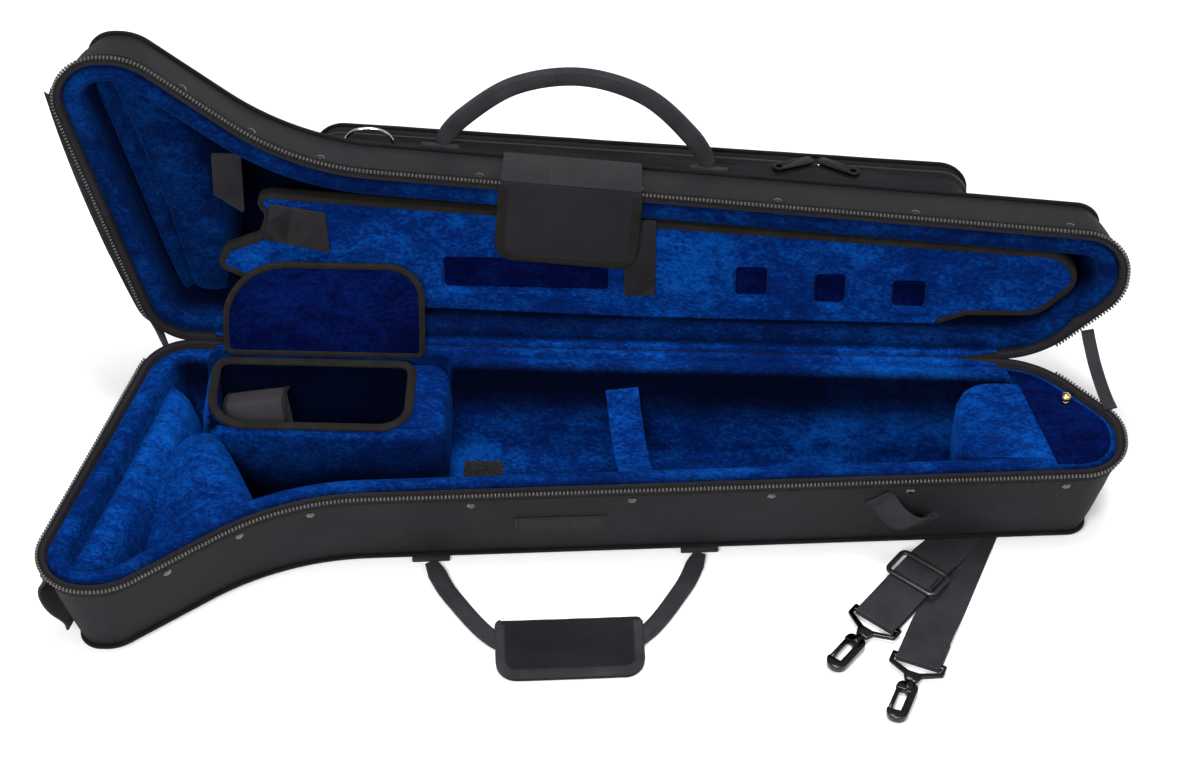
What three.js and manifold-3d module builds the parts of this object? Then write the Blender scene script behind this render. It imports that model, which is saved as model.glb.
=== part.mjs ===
// A contoured, zip-round case for a tenor trombone, standing open on its base.
// Millimetres, +Z up. X runs along the case from the bell end (-X) to the narrow end (+X),
// -Y is the front with the zipper and +Y the back with the hinge. Z = 0 is the underside.
// The lid is modelled shut above the base and turned open about the hinge by its own group.
import * as THREE from "three";
import { mergeVertices } from "three/addons/utils/BufferGeometryUtils.js";
import Module from "manifold-3d";

const wasm = await Module();
wasm.setup();

// Plan of the rim, shared by base and lid
const caseLength = 950;
const bellEndWidth = 291;
const waistWidth = 186;
const tipWidth = 131;
const bellFrontLength = 80;
const flareLength = 136;
const bellEndSlant = 84;
const tipChamferLength = 73;
const tipChamferWidth = 70;
const hingeSide = 95;
const backBellRadius = 46;
const frontBellRadius = 42;
const flareTopRadius = 58;
const flareFootRadius = 230;
const frontTipRadius = 40;
const endTipRadius = 45;
const backTipRadius = 90;
const sharpestRadius = 1.5;

// Shells and their linings
const baseDepth = 120;
const lidDepth = 88;
const baseDraft = 28;
const lidDraft = 22;
const edgeRadius = 14;
const shellWall = 4;
const basePanel = 9;
const lidPanel = 5;
const rimGap = 0.8;
const fit = 0.4;
const rollWidth = 20;
const rollDrop = 5;
const rollEase = 1.5;
const footWidth = 14;
const baseFloorPad = 11;
const lidFloorPad = 8;
const openAngle = THREE.MathUtils.degToRad(101);

// Webbing, tapes and trims
const seat = 0.3;
const pipingRadius = 2.5;
const pipingRise = 9;
const tapeThickness = 1.5;
const tapeWidth = 15;
const teethWidth = 3;
const teethStand = 1;
const webbingThickness = 2;
const strapWidth = 40;

const rimHeight = baseDepth + rimGap / 2;
const baseFloor = basePanel + fit + baseFloorPad;
const lidTop = baseDepth + rimGap + lidDepth;
const lidFloor = lidPanel + fit + lidFloorPad;

// Finishes
const paint = (color, roughness, metalness = 0) =>
  new THREE.MeshStandardMaterial({ color, roughness, metalness });
const nylon = paint(0x2b2830, 0.85);
const velvet = paint(0x0b3fae, 0.8);
const webbing = paint(0x1d1c1f, 0.8);
const binding = paint(0x3a352f, 0.8);
const blackMetal = paint(0x2a2a2c, 0.3, 0.9);
const silver = paint(0xc9c9cc, 0.25, 1);
const brass = paint(0xd8b25a, 0.3, 1);
const hookTape = paint(0x1a1a1c, 0.95);
const zipMetal = paint(0x55565a, 0.4, 0.6);

const root = new THREE.Group();

function place(parent, name, geometry, material) {
  const mesh = new THREE.Mesh(geometry, material);
  mesh.name = name;
  parent.add(mesh);
  return mesh;
}

// A group that turns its children by an angle about an axis through a point.
// Its children keep the coordinates that they have before the turn.
function turned(parent, name, point, angle, axis = new THREE.Vector3(1, 0, 0)) {
  const pivot = new THREE.Group();
  pivot.name = name;
  pivot.position.copy(point);
  pivot.quaternion.setFromAxisAngle(axis, angle);
  pivot.userData.axis = axis;
  const inner = new THREE.Group();
  inner.position.copy(point).negate();
  pivot.add(inner);
  parent.add(pivot);
  return inner;
}

// Booleans on closed geometries, whose points are joined where they meet
const weld = 1e-4;

function asSolid(geometry) {
  const merged = mergeVertices(stripped(geometry), weld);
  return new wasm.Manifold(
    new wasm.Mesh({
      numProp: 3,
      vertProperties: new Float32Array(merged.attributes.position.array),
      triVerts: new Uint32Array(merged.index.array),
    }),
  );
}

function stripped(geometry) {
  const copy = geometry.clone();
  copy.deleteAttribute("normal");
  copy.deleteAttribute("uv");
  return copy;
}

function asGeometry(solid) {
  const mesh = solid.getMesh();
  const geometry = new THREE.BufferGeometry();
  geometry.setAttribute("position", new THREE.BufferAttribute(mesh.vertProperties, 3));
  geometry.setIndex(new THREE.BufferAttribute(mesh.triVerts, 1));
  geometry.computeVertexNormals();
  return geometry;
}

const cut = (body, ...tools) =>
  asGeometry(tools.reduce((left, tool) => left.subtract(asSolid(tool)), asSolid(body)));
const join = (body, ...more) =>
  asGeometry(more.reduce((sum, piece) => sum.add(asSolid(piece)), asSolid(body)));
const meet = (body, limit) => asGeometry(asSolid(body).intersect(asSolid(limit)));

// A skin over rings of points, capped at both ends or joined end to end
function skin(rings, endless = false) {
  const count = rings[0].length;
  const points = rings.flat();
  const faces = [];
  const spans = endless ? rings.length : rings.length - 1;
  for (let r = 0; r < spans; r++) {
    const a = r * count;
    const b = ((r + 1) % rings.length) * count;
    for (let i = 0; i < count; i++) {
      const j = (i + 1) % count;
      faces.push([a + i, a + j, b + j], [a + i, b + j, b + i]);
    }
  }
  if (!endless) {
    faces.push(...cap(rings[0], 0).map(([i, j, k]) => [i, k, j]));
    faces.push(...cap(rings.at(-1), points.length - count));
  }
  let volume = 0;
  for (const [i, j, k] of faces) {
    volume += points[i].dot(points[j].clone().cross(points[k]));
  }
  const outward = volume > 0 ? faces : faces.map(([i, j, k]) => [i, k, j]);
  const geometry = new THREE.BufferGeometry().setFromPoints(points);
  geometry.setIndex(outward.flat());
  geometry.computeVertexNormals();
  return geometry;
}

// Triangles that fill a flat ring, turning the same way as the ring
function cap(ring, first) {
  const normal = new THREE.Vector3();
  ring.forEach((p, i) => normal.add(p.clone().cross(ring[(i + 1) % ring.length])));
  normal.normalize();
  const across = Math.abs(normal.z) < 0.9 ? new THREE.Vector3(0, 0, 1) : new THREE.Vector3(1, 0, 0);
  const u = across.cross(normal).normalize();
  const v = normal.clone().cross(u);
  const flat = ring.map((p) => [p.dot(u), p.dot(v)]);
  return wasm.triangulate([flat]).map((face) => [...face].map((i) => i + first));
}

// A plate: a flat outline raised by a thickness from a height
function plate(points, bottom, thickness) {
  const shape = new THREE.Shape(points.map(([x, y]) => new THREE.Vector2(x, y)));
  const geometry = new THREE.ExtrudeGeometry(shape, { depth: thickness, bevelEnabled: false });
  return geometry.translate(0, 0, bottom);
}

function block(x0, x1, y0, y1, z0, z1) {
  const box = new THREE.BoxGeometry(x1 - x0, y1 - y0, z1 - z0);
  return box.translate((x0 + x1) / 2, (y0 + y1) / 2, (z0 + z1) / 2);
}

// A polygon with each corner rounded by its own radius, moved inwards by an inset.
// Every sample has its place and its outward normal; the count never changes with the inset.
function roundedOutline(corners, inset) {
  const count = corners.length;
  const edges = corners.map((corner, i) => {
    const next = corners[(i + 1) % count];
    const along = new THREE.Vector2(next.x - corner.x, next.y - corner.y).normalize();
    const out = new THREE.Vector2(along.y, -along.x);
    return { along, out, offset: out.x * corner.x + out.y * corner.y - inset };
  });
  const samples = [];
  corners.forEach((corner, i) => {
    const before = edges[(i + count - 1) % count];
    const after = edges[i];
    const det = before.out.x * after.out.y - before.out.y * after.out.x;
    const vertex = new THREE.Vector2(
      (before.offset * after.out.y - after.offset * before.out.y) / det,
      (before.out.x * after.offset - after.out.x * before.offset) / det,
    );
    const turn = Math.asin(before.along.x * after.along.y - before.along.y * after.along.x);
    const angle = before.along.dot(after.along) < 0 ? Math.PI - turn : turn;
    const side = Math.sign(angle);
    const radius = side > 0 ? Math.max(corner.radius - inset, sharpestRadius) : corner.radius + inset;
    const back = radius * Math.tan(Math.abs(angle) / 2);
    const start = vertex.clone().addScaledVector(before.along, -back);
    const centre = start.clone().addScaledVector(before.out, -side * radius);
    for (let k = 0; k <= corner.steps; k++) {
      const out = before.out.clone().rotateAround(new THREE.Vector2(), (angle * k) / corner.steps);
      const point = centre.clone().addScaledVector(out, side * radius);
      samples.push({ point, out });
    }
  });
  return samples;
}

const left = -caseLength / 2;
const right = caseLength / 2;
const rimCorners = [
  { x: left + bellEndSlant, y: hingeSide, radius: backBellRadius, steps: 5 },
  { x: left, y: hingeSide - bellEndWidth, radius: frontBellRadius, steps: 6 },
  { x: left + bellFrontLength, y: hingeSide - bellEndWidth, radius: flareTopRadius, steps: 4 },
  { x: left + bellFrontLength + flareLength, y: hingeSide - waistWidth, radius: flareFootRadius, steps: 6 },
  { x: right, y: hingeSide - tipWidth, radius: frontTipRadius, steps: 5 },
  { x: right, y: hingeSide - tipChamferWidth, radius: endTipRadius, steps: 3 },
  { x: right - tipChamferLength, y: hingeSide, radius: backTipRadius, steps: 5 },
];
const backBellSamples = rimCorners[0].steps + 1;
const backTipSamples = rimCorners.at(-1).steps + 1;
const rimSamples = roundedOutline(rimCorners, 0);
const rimOutline = (inset) => roundedOutline(rimCorners, inset).map((s) => s.point);

// The two halves of the case: where the closed end lies, and which way the rim is from it
const base = { end: 0, way: 1, depth: baseDepth, draft: baseDraft, panel: basePanel, pad: baseFloorPad };
const lid = { end: lidTop, way: -1, depth: lidDepth, draft: lidDraft, panel: lidPanel, pad: lidFloorPad };

const draftAt = (half, rise) => half.draft * (1 - rise / half.depth);
const heightOf = (half, rise) => half.end + half.way * rise;
const ringAt = (half, rise, inset) =>
  rimOutline(inset).map((p) => new THREE.Vector3(p.x, p.y, heightOf(half, rise)));

function shellOf(half) {
  const steps = [0, Math.PI / 4, Math.PI / 2];
  const rings = steps.map((angle) => {
    const rise = edgeRadius * (1 - Math.cos(angle));
    return ringAt(half, rise, draftAt(half, rise) + edgeRadius * (1 - Math.sin(angle)));
  });
  rings.push(ringAt(half, half.depth, 0));
  rings.push(ringAt(half, half.depth, shellWall));
  rings.push(ringAt(half, half.panel, draftAt(half, half.panel) + shellWall));
  return skin(rings);
}

function liningOf(half) {
  const skinInset = shellWall + fit;
  const foot = half.panel + fit;
  const floor = foot + half.pad;
  const rings = [
    ringAt(half, foot, draftAt(half, foot) + skinInset),
    ringAt(half, half.depth - rollDrop, draftAt(half, half.depth - rollDrop) + skinInset),
    ringAt(half, half.depth - rollEase, skinInset + rollDrop),
    ringAt(half, half.depth - rollEase, skinInset + rollWidth - rollDrop),
    ringAt(half, half.depth - rollEase - rollDrop, skinInset + rollWidth),
    ringAt(half, floor, draftAt(half, floor) + skinInset + footWidth),
  ];
  return skin(rings);
}

// The space inside a lining, drawn in by the fit: what the fitted cushions are cut to
function insideOf(half) {
  const skinInset = shellWall + 2 * fit;
  const floor = half.panel + fit + half.pad + seat;
  return skin([
    ringAt(half, floor, draftAt(half, floor) + skinInset + footWidth),
    ringAt(half, half.depth - rollEase - rollDrop, skinInset + rollWidth),
    ringAt(half, half.depth - rollEase, skinInset + rollWidth),
  ]);
}

// A strip that follows the rim: section points are [out from the shell, rise above the closed end]
function rimStrip(half, section, first, last) {
  const rings = [];
  for (let i = first; i <= last; i++) {
    const { point, out } = rimSamples[i % rimSamples.length];
    rings.push(
      section.map(([stand, rise]) => {
        const reach = stand - draftAt(half, rise);
        return new THREE.Vector3(point.x + out.x * reach, point.y + out.y * reach, heightOf(half, rise));
      }),
    );
  }
  return rings;
}

const zipFirst = backBellSamples - 2;
const zipLast = rimSamples.length - backTipSamples + 1;

function zipperOf(half) {
  const top = half.depth;
  const section = [
    [seat, top - tapeWidth],
    [seat + tapeThickness, top - tapeWidth],
    [seat + tapeThickness, top - teethWidth],
    [seat + tapeThickness + teethStand, top - teethWidth],
    [seat + tapeThickness + teethStand, top],
    [seat, top],
  ];
  return skin(rimStrip(half, section, zipFirst, zipLast));
}

const pipingSides = 6;
const pipingSinkShare = 0.1;
function pipingOf(half) {
  const section = [];
  const corner = edgeRadius * (1 - Math.sqrt(1 - (1 - pipingRise / edgeRadius) ** 2));
  for (let k = 0; k < pipingSides; k++) {
    const angle = (2 * Math.PI * k) / pipingSides;
    section.push([
      pipingRadius * (1 + Math.cos(angle)) + seat - corner + pipingRadius * pipingSinkShare,
      pipingRise + pipingRadius * Math.sin(angle),
    ]);
  }
  return skin(rimStrip(half, section, 0, rimSamples.length - 1), true);
}

// Frames on the straight front wall: x along the wall, y into it, z up it
const flareFoot = new THREE.Vector2(rimCorners[3].x, rimCorners[3].y);
const frontAlong = new THREE.Vector2(rimCorners[4].x, rimCorners[4].y).sub(flareFoot).normalize();
const frontOut = new THREE.Vector2(frontAlong.y, -frontAlong.x);
const frontAxis = new THREE.Vector3(frontAlong.x, frontAlong.y, 0);

function frontPoint(half, x, rise, stand) {
  const reach = (x - flareFoot.x) / frontAlong.x;
  const point = flareFoot.clone().addScaledVector(frontAlong, reach);
  point.addScaledVector(frontOut, stand - draftAt(half, rise));
  return new THREE.Vector3(point.x, point.y, heightOf(half, rise));
}

function frontFrame(half, x, rise, stand) {
  const up = new THREE.Vector3(frontOut.x, frontOut.y, 0).multiplyScalar(half.draft * half.way);
  up.setZ(half.depth).normalize();
  const inward = up.clone().cross(frontAxis);
  const frame = new THREE.Matrix4().makeBasis(frontAxis, inward, up);
  return frame.setPosition(frontPoint(half, x, rise, stand));
}

function placeOn(parent, name, geometry, material, frame) {
  return place(parent, name, geometry.applyMatrix4(frame), material);
}

// A ribbon: a centreline of [along, up] points given a thickness, and a width across
function ribbon(line, thickness, width) {
  const points = line.map(([s, h]) => new THREE.Vector2(s, h));
  const normals = points.map((p, i) => {
    const ahead = points[Math.min(i + 1, points.length - 1)];
    const behind = points[Math.max(i - 1, 0)];
    const before = p.clone().sub(behind).normalize();
    const after = ahead.clone().sub(p).normalize();
    const mean = before.clone().add(after).normalize();
    const widen = 1 / Math.max(mean.dot(i ? before : after), 0.5);
    return new THREE.Vector2(-mean.y, mean.x).multiplyScalar((widen * thickness) / 2);
  });
  const upper = points.map((p, i) => p.clone().add(normals[i]));
  const lower = points.map((p, i) => p.clone().sub(normals[i])).reverse();
  const shape = new THREE.Shape([...lower, ...upper]);
  const geometry = new THREE.ExtrudeGeometry(shape, { depth: width, bevelEnabled: false });
  return geometry.translate(0, 0, -width / 2);
}

// A smooth curve through a few points, as [x, y] pairs
function eased(points, count) {
  const curve = new THREE.SplineCurve(points.map(([x, y]) => new THREE.Vector2(x, y)));
  return curve.getPoints(count).map((p) => [p.x, p.y]);
}

// Base: shell, lining, trims
const grooveDepth = 5;
const grooveFront = [281, 362];
const grooveBack = [368, 453];
const grooveReach = [-65, 105];
const overrun = 1;
const groove = plate(
  [
    [grooveFront[0], grooveReach[0]],
    [grooveFront[1], grooveReach[0]],
    [grooveBack[1], grooveReach[1]],
    [grooveBack[0], grooveReach[1]],
  ],
  -overrun,
  grooveDepth + overrun,
);
place(root, "base_shell", cut(shellOf(base), groove), nylon);

// Accessory box, sunk into the back of the bell end
const boxLeft = left + 132;
const boxRight = left + 351;
const boxFront = hingeSide - 101;
const boxBackEase = 4;
const boxBackTop = hingeSide - shellWall - fit - boxBackEase;
const boxTop = baseDepth - 10;
const boxWall = 8;
const boxFloorWall = 4;
const boxCorner = 18;
const boxCornerSteps = 3;
const boxFloorZ = baseFloor + seat;
const boxBackAt = (z) => boxBackTop - (baseDraft * (boxTop - z)) / baseDepth;

function boxRing(z, inset) {
  const corners = [
    { x: boxLeft, y: boxBackAt(z), radius: boxCorner, steps: boxCornerSteps },
    { x: boxLeft, y: boxFront, radius: boxCorner, steps: boxCornerSteps },
    { x: boxRight, y: boxFront, radius: boxCorner, steps: boxCornerSteps },
    { x: boxRight, y: boxBackAt(z), radius: boxCorner, steps: boxCornerSteps },
  ];
  return roundedOutline(corners, inset).map(({ point }) => new THREE.Vector3(point.x, point.y, z));
}

const boxBottom = boxFloorZ + boxFloorWall;
place(
  root,
  "accessory_box",
  skin([
    boxRing(boxFloorZ, 0),
    boxRing(boxTop, 0),
    boxRing(boxTop, boxWall),
    boxRing(boxBottom, boxWall),
  ]),
  velvet,
);
const boxSpace = skin([boxRing(boxFloorZ - seat / 2, -fit), boxRing(rimHeight + overrun, -fit)]);

// Binding on the box's edge
const bindingHeight = 3;
const bindingWidth = 8;
place(
  root,
  "accessory_box_binding",
  skin(
    [
      boxRing(boxTop + seat, boxWall - bindingWidth),
      boxRing(boxTop + seat + bindingHeight, boxWall - bindingWidth),
      boxRing(boxTop + seat + bindingHeight, boxWall),
      boxRing(boxTop + seat, boxWall),
    ],
    true,
  ),
  binding,
);

// End compartment: a block across the bay and a lid that drops into a rebate
const endLidThickness = 4;
const endLidTop = baseDepth - 2;
const endLidEdge = 12;
const endLidEase = 1.5;
const endHingeBack = [right - 94, hingeSide - 13];
const endHingeFront = [right - 64, hingeSide - 109];
const endBlockLeft = right - 143;
const endBlockTop = endLidTop - endLidThickness - seat;
const endSeam = [endHingeFront[0] - endHingeBack[0], endHingeFront[1] - endHingeBack[1]];
const endSeamLength = Math.hypot(...endSeam);
const endAxis = new THREE.Vector3(endSeam[0] / endSeamLength, endSeam[1] / endSeamLength, 0);

const rimPlate = (half, inset, z0, z1) =>
  skin([
    rimOutline(inset).map((p) => new THREE.Vector3(p.x, p.y, z0)),
    rimOutline(inset).map((p) => new THREE.Vector3(p.x, p.y, z1)),
  ]);

// The part of the plan to the right of the end lid's hinge line, moved right by a gap
function endRegion(gap, bottom, thickness) {
  const mid = [(endHingeBack[0] + endHingeFront[0]) / 2, (endHingeBack[1] + endHingeFront[1]) / 2];
  const ends = [-1, 1].map((k) => [mid[0] + endSeam[0] * k + gap, mid[1] + endSeam[1] * k]);
  return plate([ends[1], [caseLength, ends[1][1]], [caseLength, ends[0][1]], ends[0]], bottom, thickness);
}

const endRebate = meet(
  rimPlate(base, endLidEdge - endLidEase, endLidTop - endLidThickness - fit, rimHeight + overrun),
  endRegion(-endLidThickness - fit, 0, caseLength),
);
place(root, "base_lining", cut(liningOf(base), boxSpace, endRebate), velvet);
place(root, "base_piping", pipingOf(base), binding);
place(root, "base_zipper", zipperOf(base), zipMetal);

const inside = insideOf(base);
const seamAt = (y) => endHingeBack[0] + (endSeam[0] / endSeam[1]) * (y - endHingeBack[1]);
const endBlock = plate(
  [
    [endBlockLeft, -hingeSide],
    [seamAt(-hingeSide), -hingeSide],
    [seamAt(hingeSide), hingeSide],
    [endBlockLeft, hingeSide],
  ],
  0,
  endBlockTop,
);
place(root, "end_block", meet(endBlock, inside), velvet);

const endHinge = new THREE.Vector3(endHingeBack[0], endHingeBack[1], endLidTop);
const endLidRaise = THREE.MathUtils.degToRad(2.5);
const endLidGroup = turned(root, "end_lid_pivot", endHinge, endLidRaise, endAxis);
place(
  endLidGroup,
  "end_lid",
  meet(
    rimPlate(base, endLidEdge, endLidTop - endLidThickness, endLidTop),
    endRegion(endLidThickness / 2, 0, caseLength),
  ),
  velvet,
);
const knobPlace = [right - 48, hingeSide - 49];
const knobRadius = 5.5;
const knobStem = 2.5;
const knobHeight = 9;
const knobShare = [0.45, 0.6, 0.9];
const knob = new THREE.LatheGeometry(
  [
    [0, 0],
    [knobStem, 0],
    [knobStem, knobHeight * knobShare[0]],
    [knobRadius, knobHeight * knobShare[1]],
    [knobRadius * knobShare[2], knobHeight * knobShare[2]],
    [0, knobHeight],
  ].map(([r, h]) => new THREE.Vector2(r, h)),
  10,
);
knob.rotateX(Math.PI / 2).translate(knobPlace[0], knobPlace[1], endLidTop + seat);
place(endLidGroup, "end_lid_knob", knob, brass);

// Cushions round the bell
const wedgeLeft = left + 59;
const wedgeRight = left + 167;
const wedgeLine = hingeSide - bellEndWidth / 2 - 53.5;
const wedgeTurn = THREE.MathUtils.degToRad(25.8);
const wedgeShare = [0, 0.22, 0.67, 0.87, 1];
const wedgeRise = [0.38, 0.52, 0.9, 0.93, 0.82].map((share) => share * baseDepth);
const wedgeSteps = 12;
const wedgeSide = eased(
  wedgeShare.map((share, i) => [wedgeLeft + (wedgeRight - wedgeLeft) * share, wedgeRise[i]]),
  wedgeSteps,
);
const wedgeShape = new THREE.Shape(
  [[wedgeRight, 0], ...[...wedgeSide].reverse(), [wedgeLeft, 0]].map(([x, z]) => new THREE.Vector2(x, z)),
);
const wedge = new THREE.ExtrudeGeometry(wedgeShape, { depth: bellEndWidth, bevelEnabled: false });
wedge.rotateX(Math.PI / 2).translate(-wedgeRight, 0, 0).rotateZ(wedgeTurn);
wedge.translate(wedgeRight, wedgeLine + bellEndWidth / 4, 0);

// The bell end's pad: a cushion along the slanted end wall
const padFrontY = hingeSide - bellEndWidth + 28;
const padBackY = hingeSide - 37;
const padThickness = 28;
const padTop = baseDepth - 12;
const endWallAt = (y) => left + (bellEndSlant * (y - (hingeSide - bellEndWidth))) / bellEndWidth;
const padRiseShare = [0, 0.86, 0.95, 1, 0.95];
const padReachShare = [1, 1, 0.9, 0.55, 0.2];
const padLength = padBackY - padFrontY;

function endPadOf(extra) {
  const profile = padRiseShare.map((share, i) => [
    padThickness * padReachShare[i] + extra,
    (padTop + extra) * share,
  ]);
  profile.push([0, (padTop + extra) * padRiseShare.at(-1)], [0, 0]);
  const shape = new THREE.Shape(profile.map(([x, z]) => new THREE.Vector2(x, z)));
  const pad = new THREE.ExtrudeGeometry(shape, { depth: padLength, bevelEnabled: false });
  pad.rotateX(Math.PI / 2).translate(0, padLength, 0);
  pad.rotateZ(-Math.atan2(bellEndSlant, bellEndWidth));
  return pad.translate(endWallAt(padFrontY) + shellWall + rollWidth, padFrontY, 0);
}
place(root, "bell_end_pad", meet(endPadOf(0), inside), velvet);
place(root, "bell_wedge", cut(meet(wedge, inside), endPadOf(fit)), velvet);

// Hold-down strap across the bay, and the hook-and-loop patch on the floor
const holdWidth = 28;
const holdBack = [31, hingeSide - 29];
const holdFront = [49, hingeSide - waistWidth + 51];
const holdSag = [20, 32, 40, 41, 36, 24];
const holdRun = Math.hypot(holdFront[0] - holdBack[0], holdFront[1] - holdBack[1]);
const holdLine = holdSag.map((sag, i) => [(holdRun * i) / (holdSag.length - 1), baseDepth - sag]);
const holdStrap = ribbon(holdLine, webbingThickness, holdWidth);
holdStrap.rotateX(Math.PI / 2);
holdStrap.rotateZ(Math.atan2(holdFront[1] - holdBack[1], holdFront[0] - holdBack[0]));
holdStrap.translate(holdBack[0], holdBack[1], 0);
place(root, "hold_down_strap", meet(holdStrap, inside), velvet);
const floorPatch = [boxRight + 12, boxRight + 48, boxFront + 14, boxFront + 50];
place(
  root,
  "floor_patch",
  block(...floorPatch, baseFloor + seat, baseFloor + seat + tapeThickness),
  hookTape,
);

// Front wall: patch for the closing flap, and the diagonal grab loop
const patchPlace = [-18, baseDepth / 2];
const patchSize = [82, 26];
const patch = block(
  -patchSize[0] / 2,
  patchSize[0] / 2,
  -seat - tapeThickness,
  -seat,
  -patchSize[1] / 2,
  patchSize[1] / 2,
);
placeOn(root, "flap_patch", patch, hookTape, frontFrame(base, patchPlace[0], patchPlace[1], 0));

const grabWidth = 26;
const grabRun = 0.6 * baseDepth;
const grabLift = 13;
const grabHold = webbingThickness / 2 + seat;
const grabShare = [0, 0.14, 0.3, 0.5, 0.7, 0.86, 1];
const grabLiftShare = [0, 0, 0.75, 1, 0.75, 0, 0];
const grabLine = grabShare.map((s, i) => [grabRun * (s - 0.5), grabHold + grabLift * grabLiftShare[i]]);
const grabLoop = () => ribbon(grabLine, webbingThickness, grabWidth).rotateX(Math.PI);
const grabTurn = THREE.MathUtils.degToRad(44);
const grabHigh = grabRun * Math.sin(grabTurn) + grabWidth * Math.cos(grabTurn);
const grabBelowZip = 4.5;
const grabPlace = [right - 191, baseDepth - tapeWidth - grabBelowZip - grabHigh / 2];
placeOn(
  root,
  "front_grab_loop",
  grabLoop().rotateY(grabTurn),
  webbing,
  frontFrame(base, grabPlace[0], grabPlace[1], 0),
);

// The bell end's grab loop, upright on the end wall
const endAlong = new THREE.Vector3(bellEndSlant, bellEndWidth, 0).normalize();
const endLoopY = hingeSide - bellEndWidth + 46;
const endLoopRise = 0.52 * baseDepth;
const endUp = new THREE.Vector3(-endAlong.y * baseDraft, endAlong.x * baseDraft, baseDepth).normalize();
const endFrame = new THREE.Matrix4().makeBasis(
  endAlong.clone().negate(),
  endAlong.clone().cross(endUp),
  endUp,
);
const endOutDraft = draftAt(base, endLoopRise);
endFrame.setPosition(
  endWallAt(endLoopY) + endAlong.y * endOutDraft,
  endLoopY - endAlong.x * endOutDraft,
  endLoopRise,
);
placeOn(root, "end_grab_loop", grabLoop().rotateY(Math.PI / 2), webbing, endFrame);

// Carrying handles: anchors at the shell's edge, an arch of webbing, and the base's grip wrap
const handleThickness = 3.6;
const handleWebWidth = 15;
const handleGap = 0.3;
const anchorLength = 8;
const anchorWidth = 34;
const anchorExtra = 0.4;
const handleEnds = [-135, 106];
const handleTension = 0.5;
const handleSteps = 20;
const eyeSides = 12;
const handleArch = [
  [0, 0],
  [0.08, 0.36],
  [0.26, 0.82],
  [0.5, 1],
  [0.74, 0.82],
  [0.92, 0.36],
  [1, 0],
];
const handleMid = (handleEnds[0] + handleEnds[1]) / 2;
const handleSpan = (handleEnds[1] - handleEnds[0]) / frontAlong.x;

const edgeInset = (rise) => edgeRadius * (1 - Math.sqrt(1 - (1 - rise / edgeRadius) ** 2));

// Local frame of a handle: x along the front edge, y into the case, z up, at the pivot line
function handleFrame(half, rise) {
  const upper = rise + (handleThickness + anchorExtra) / 2;
  const stand = seat + anchorLength + handleGap + handleThickness / 2 - edgeInset(upper);
  const frame = new THREE.Matrix4().makeBasis(
    frontAxis,
    new THREE.Vector3(-frontAxis.y, frontAxis.x, 0),
    new THREE.Vector3(0, 0, 1),
  );
  return frame.setPosition(frontPoint(half, handleMid, upper, stand).setZ(heightOf(half, rise)));
}

function handleOf(reach, flatShare) {
  const half = handleSpan / 2;
  const arch = handleArch.map(([share, rise]) => {
    const out = (reach * Math.min(rise, flatShare)) / flatShare;
    return new THREE.Vector3(handleSpan * (share - 0.5), -out, 0);
  });
  const curve = new THREE.CatmullRomCurve3(arch, false, "catmullrom", handleTension);
  const line = curve.getPoints(handleSteps);
  const side = (k) =>
    line.map((p, i) => {
      const along = curve.getTangent(i / handleSteps).normalize();
      const fromEnd = Math.min(i, handleSteps - i);
      const out = (k * handleWebWidth * Math.min(1, (1 + fromEnd) / 2)) / 2;
      return new THREE.Vector2(p.x - along.y * out, p.y + along.x * out);
    });
  const shape = new THREE.Shape([...side(-1), ...side(1).reverse()]);
  const strap = new THREE.ExtrudeGeometry(shape, { depth: handleThickness, bevelEnabled: false });
  strap.translate(0, 0, -handleThickness / 2);
  const ends = [-half, half].map((x) => {
    const radius = handleThickness / 2;
    const eye = new THREE.CylinderGeometry(radius, radius, handleWebWidth, eyeSides);
    return eye.rotateZ(Math.PI / 2).translate(x, 0, 0);
  });
  const keep = block(-handleSpan, handleSpan, -2 * reach, 0, -handleThickness, handleThickness);
  return join(meet(strap, keep), ...ends);
}

function anchorsOf(parent, half, rise, names) {
  const frame = handleFrame(half, rise);
  const back = handleGap + handleThickness / 2;
  names.forEach((name, i) => {
    const x = handleSpan * (i - 0.5);
    const tab = block(
      x - anchorWidth / 2,
      x + anchorWidth / 2,
      back,
      back + anchorLength,
      -handleThickness / 2 - anchorExtra / 2,
      handleThickness / 2 + anchorExtra / 2,
    );
    placeOn(parent, name, tab, webbing, frame);
  });
}

const baseHandleRise = 4.1;
const baseHandleReach = 96;
const gripLength = 130;
const gripDepth = 64;
const gripThickness = 8;
const gripCorner = 14;
const gripBack = 24;
anchorsOf(root, base, baseHandleRise, ["base_handle_anchor_left", "base_handle_anchor_right"]);
const baseHandleFrame = handleFrame(base, baseHandleRise);
const baseHandlePoint = new THREE.Vector3().setFromMatrixPosition(baseHandleFrame);
const baseHandleGroup = turned(root, "base_handle_pivot", baseHandlePoint, 0, frontAxis);
const baseHandleFlat = 0.82;
const baseHandle = handleOf(baseHandleReach, baseHandleFlat);
const gripCorners = [
  { x: -gripLength / 2, y: 0, radius: gripCorner / 2, steps: 2 },
  { x: -gripLength / 2, y: -gripDepth, radius: gripCorner, steps: 4 },
  { x: gripLength / 2, y: -gripDepth, radius: gripCorner, steps: 4 },
  { x: gripLength / 2, y: 0, radius: gripCorner / 2, steps: 2 },
];
const grip = plate(
  roundedOutline(gripCorners, 0).map(({ point }) => [point.x, point.y]),
  -handleThickness / 2 - tapeThickness,
  gripThickness,
);
grip.translate(0, gripBack - baseHandleReach, 0);
const gripSlot = block(
  -gripLength,
  gripLength,
  -baseHandleReach - handleWebWidth,
  gripBack - baseHandleReach + overrun,
  -handleThickness / 2 - seat,
  handleThickness / 2 + seat,
);
placeOn(baseHandleGroup, "base_handle", baseHandle, webbing, baseHandleFrame);
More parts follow.
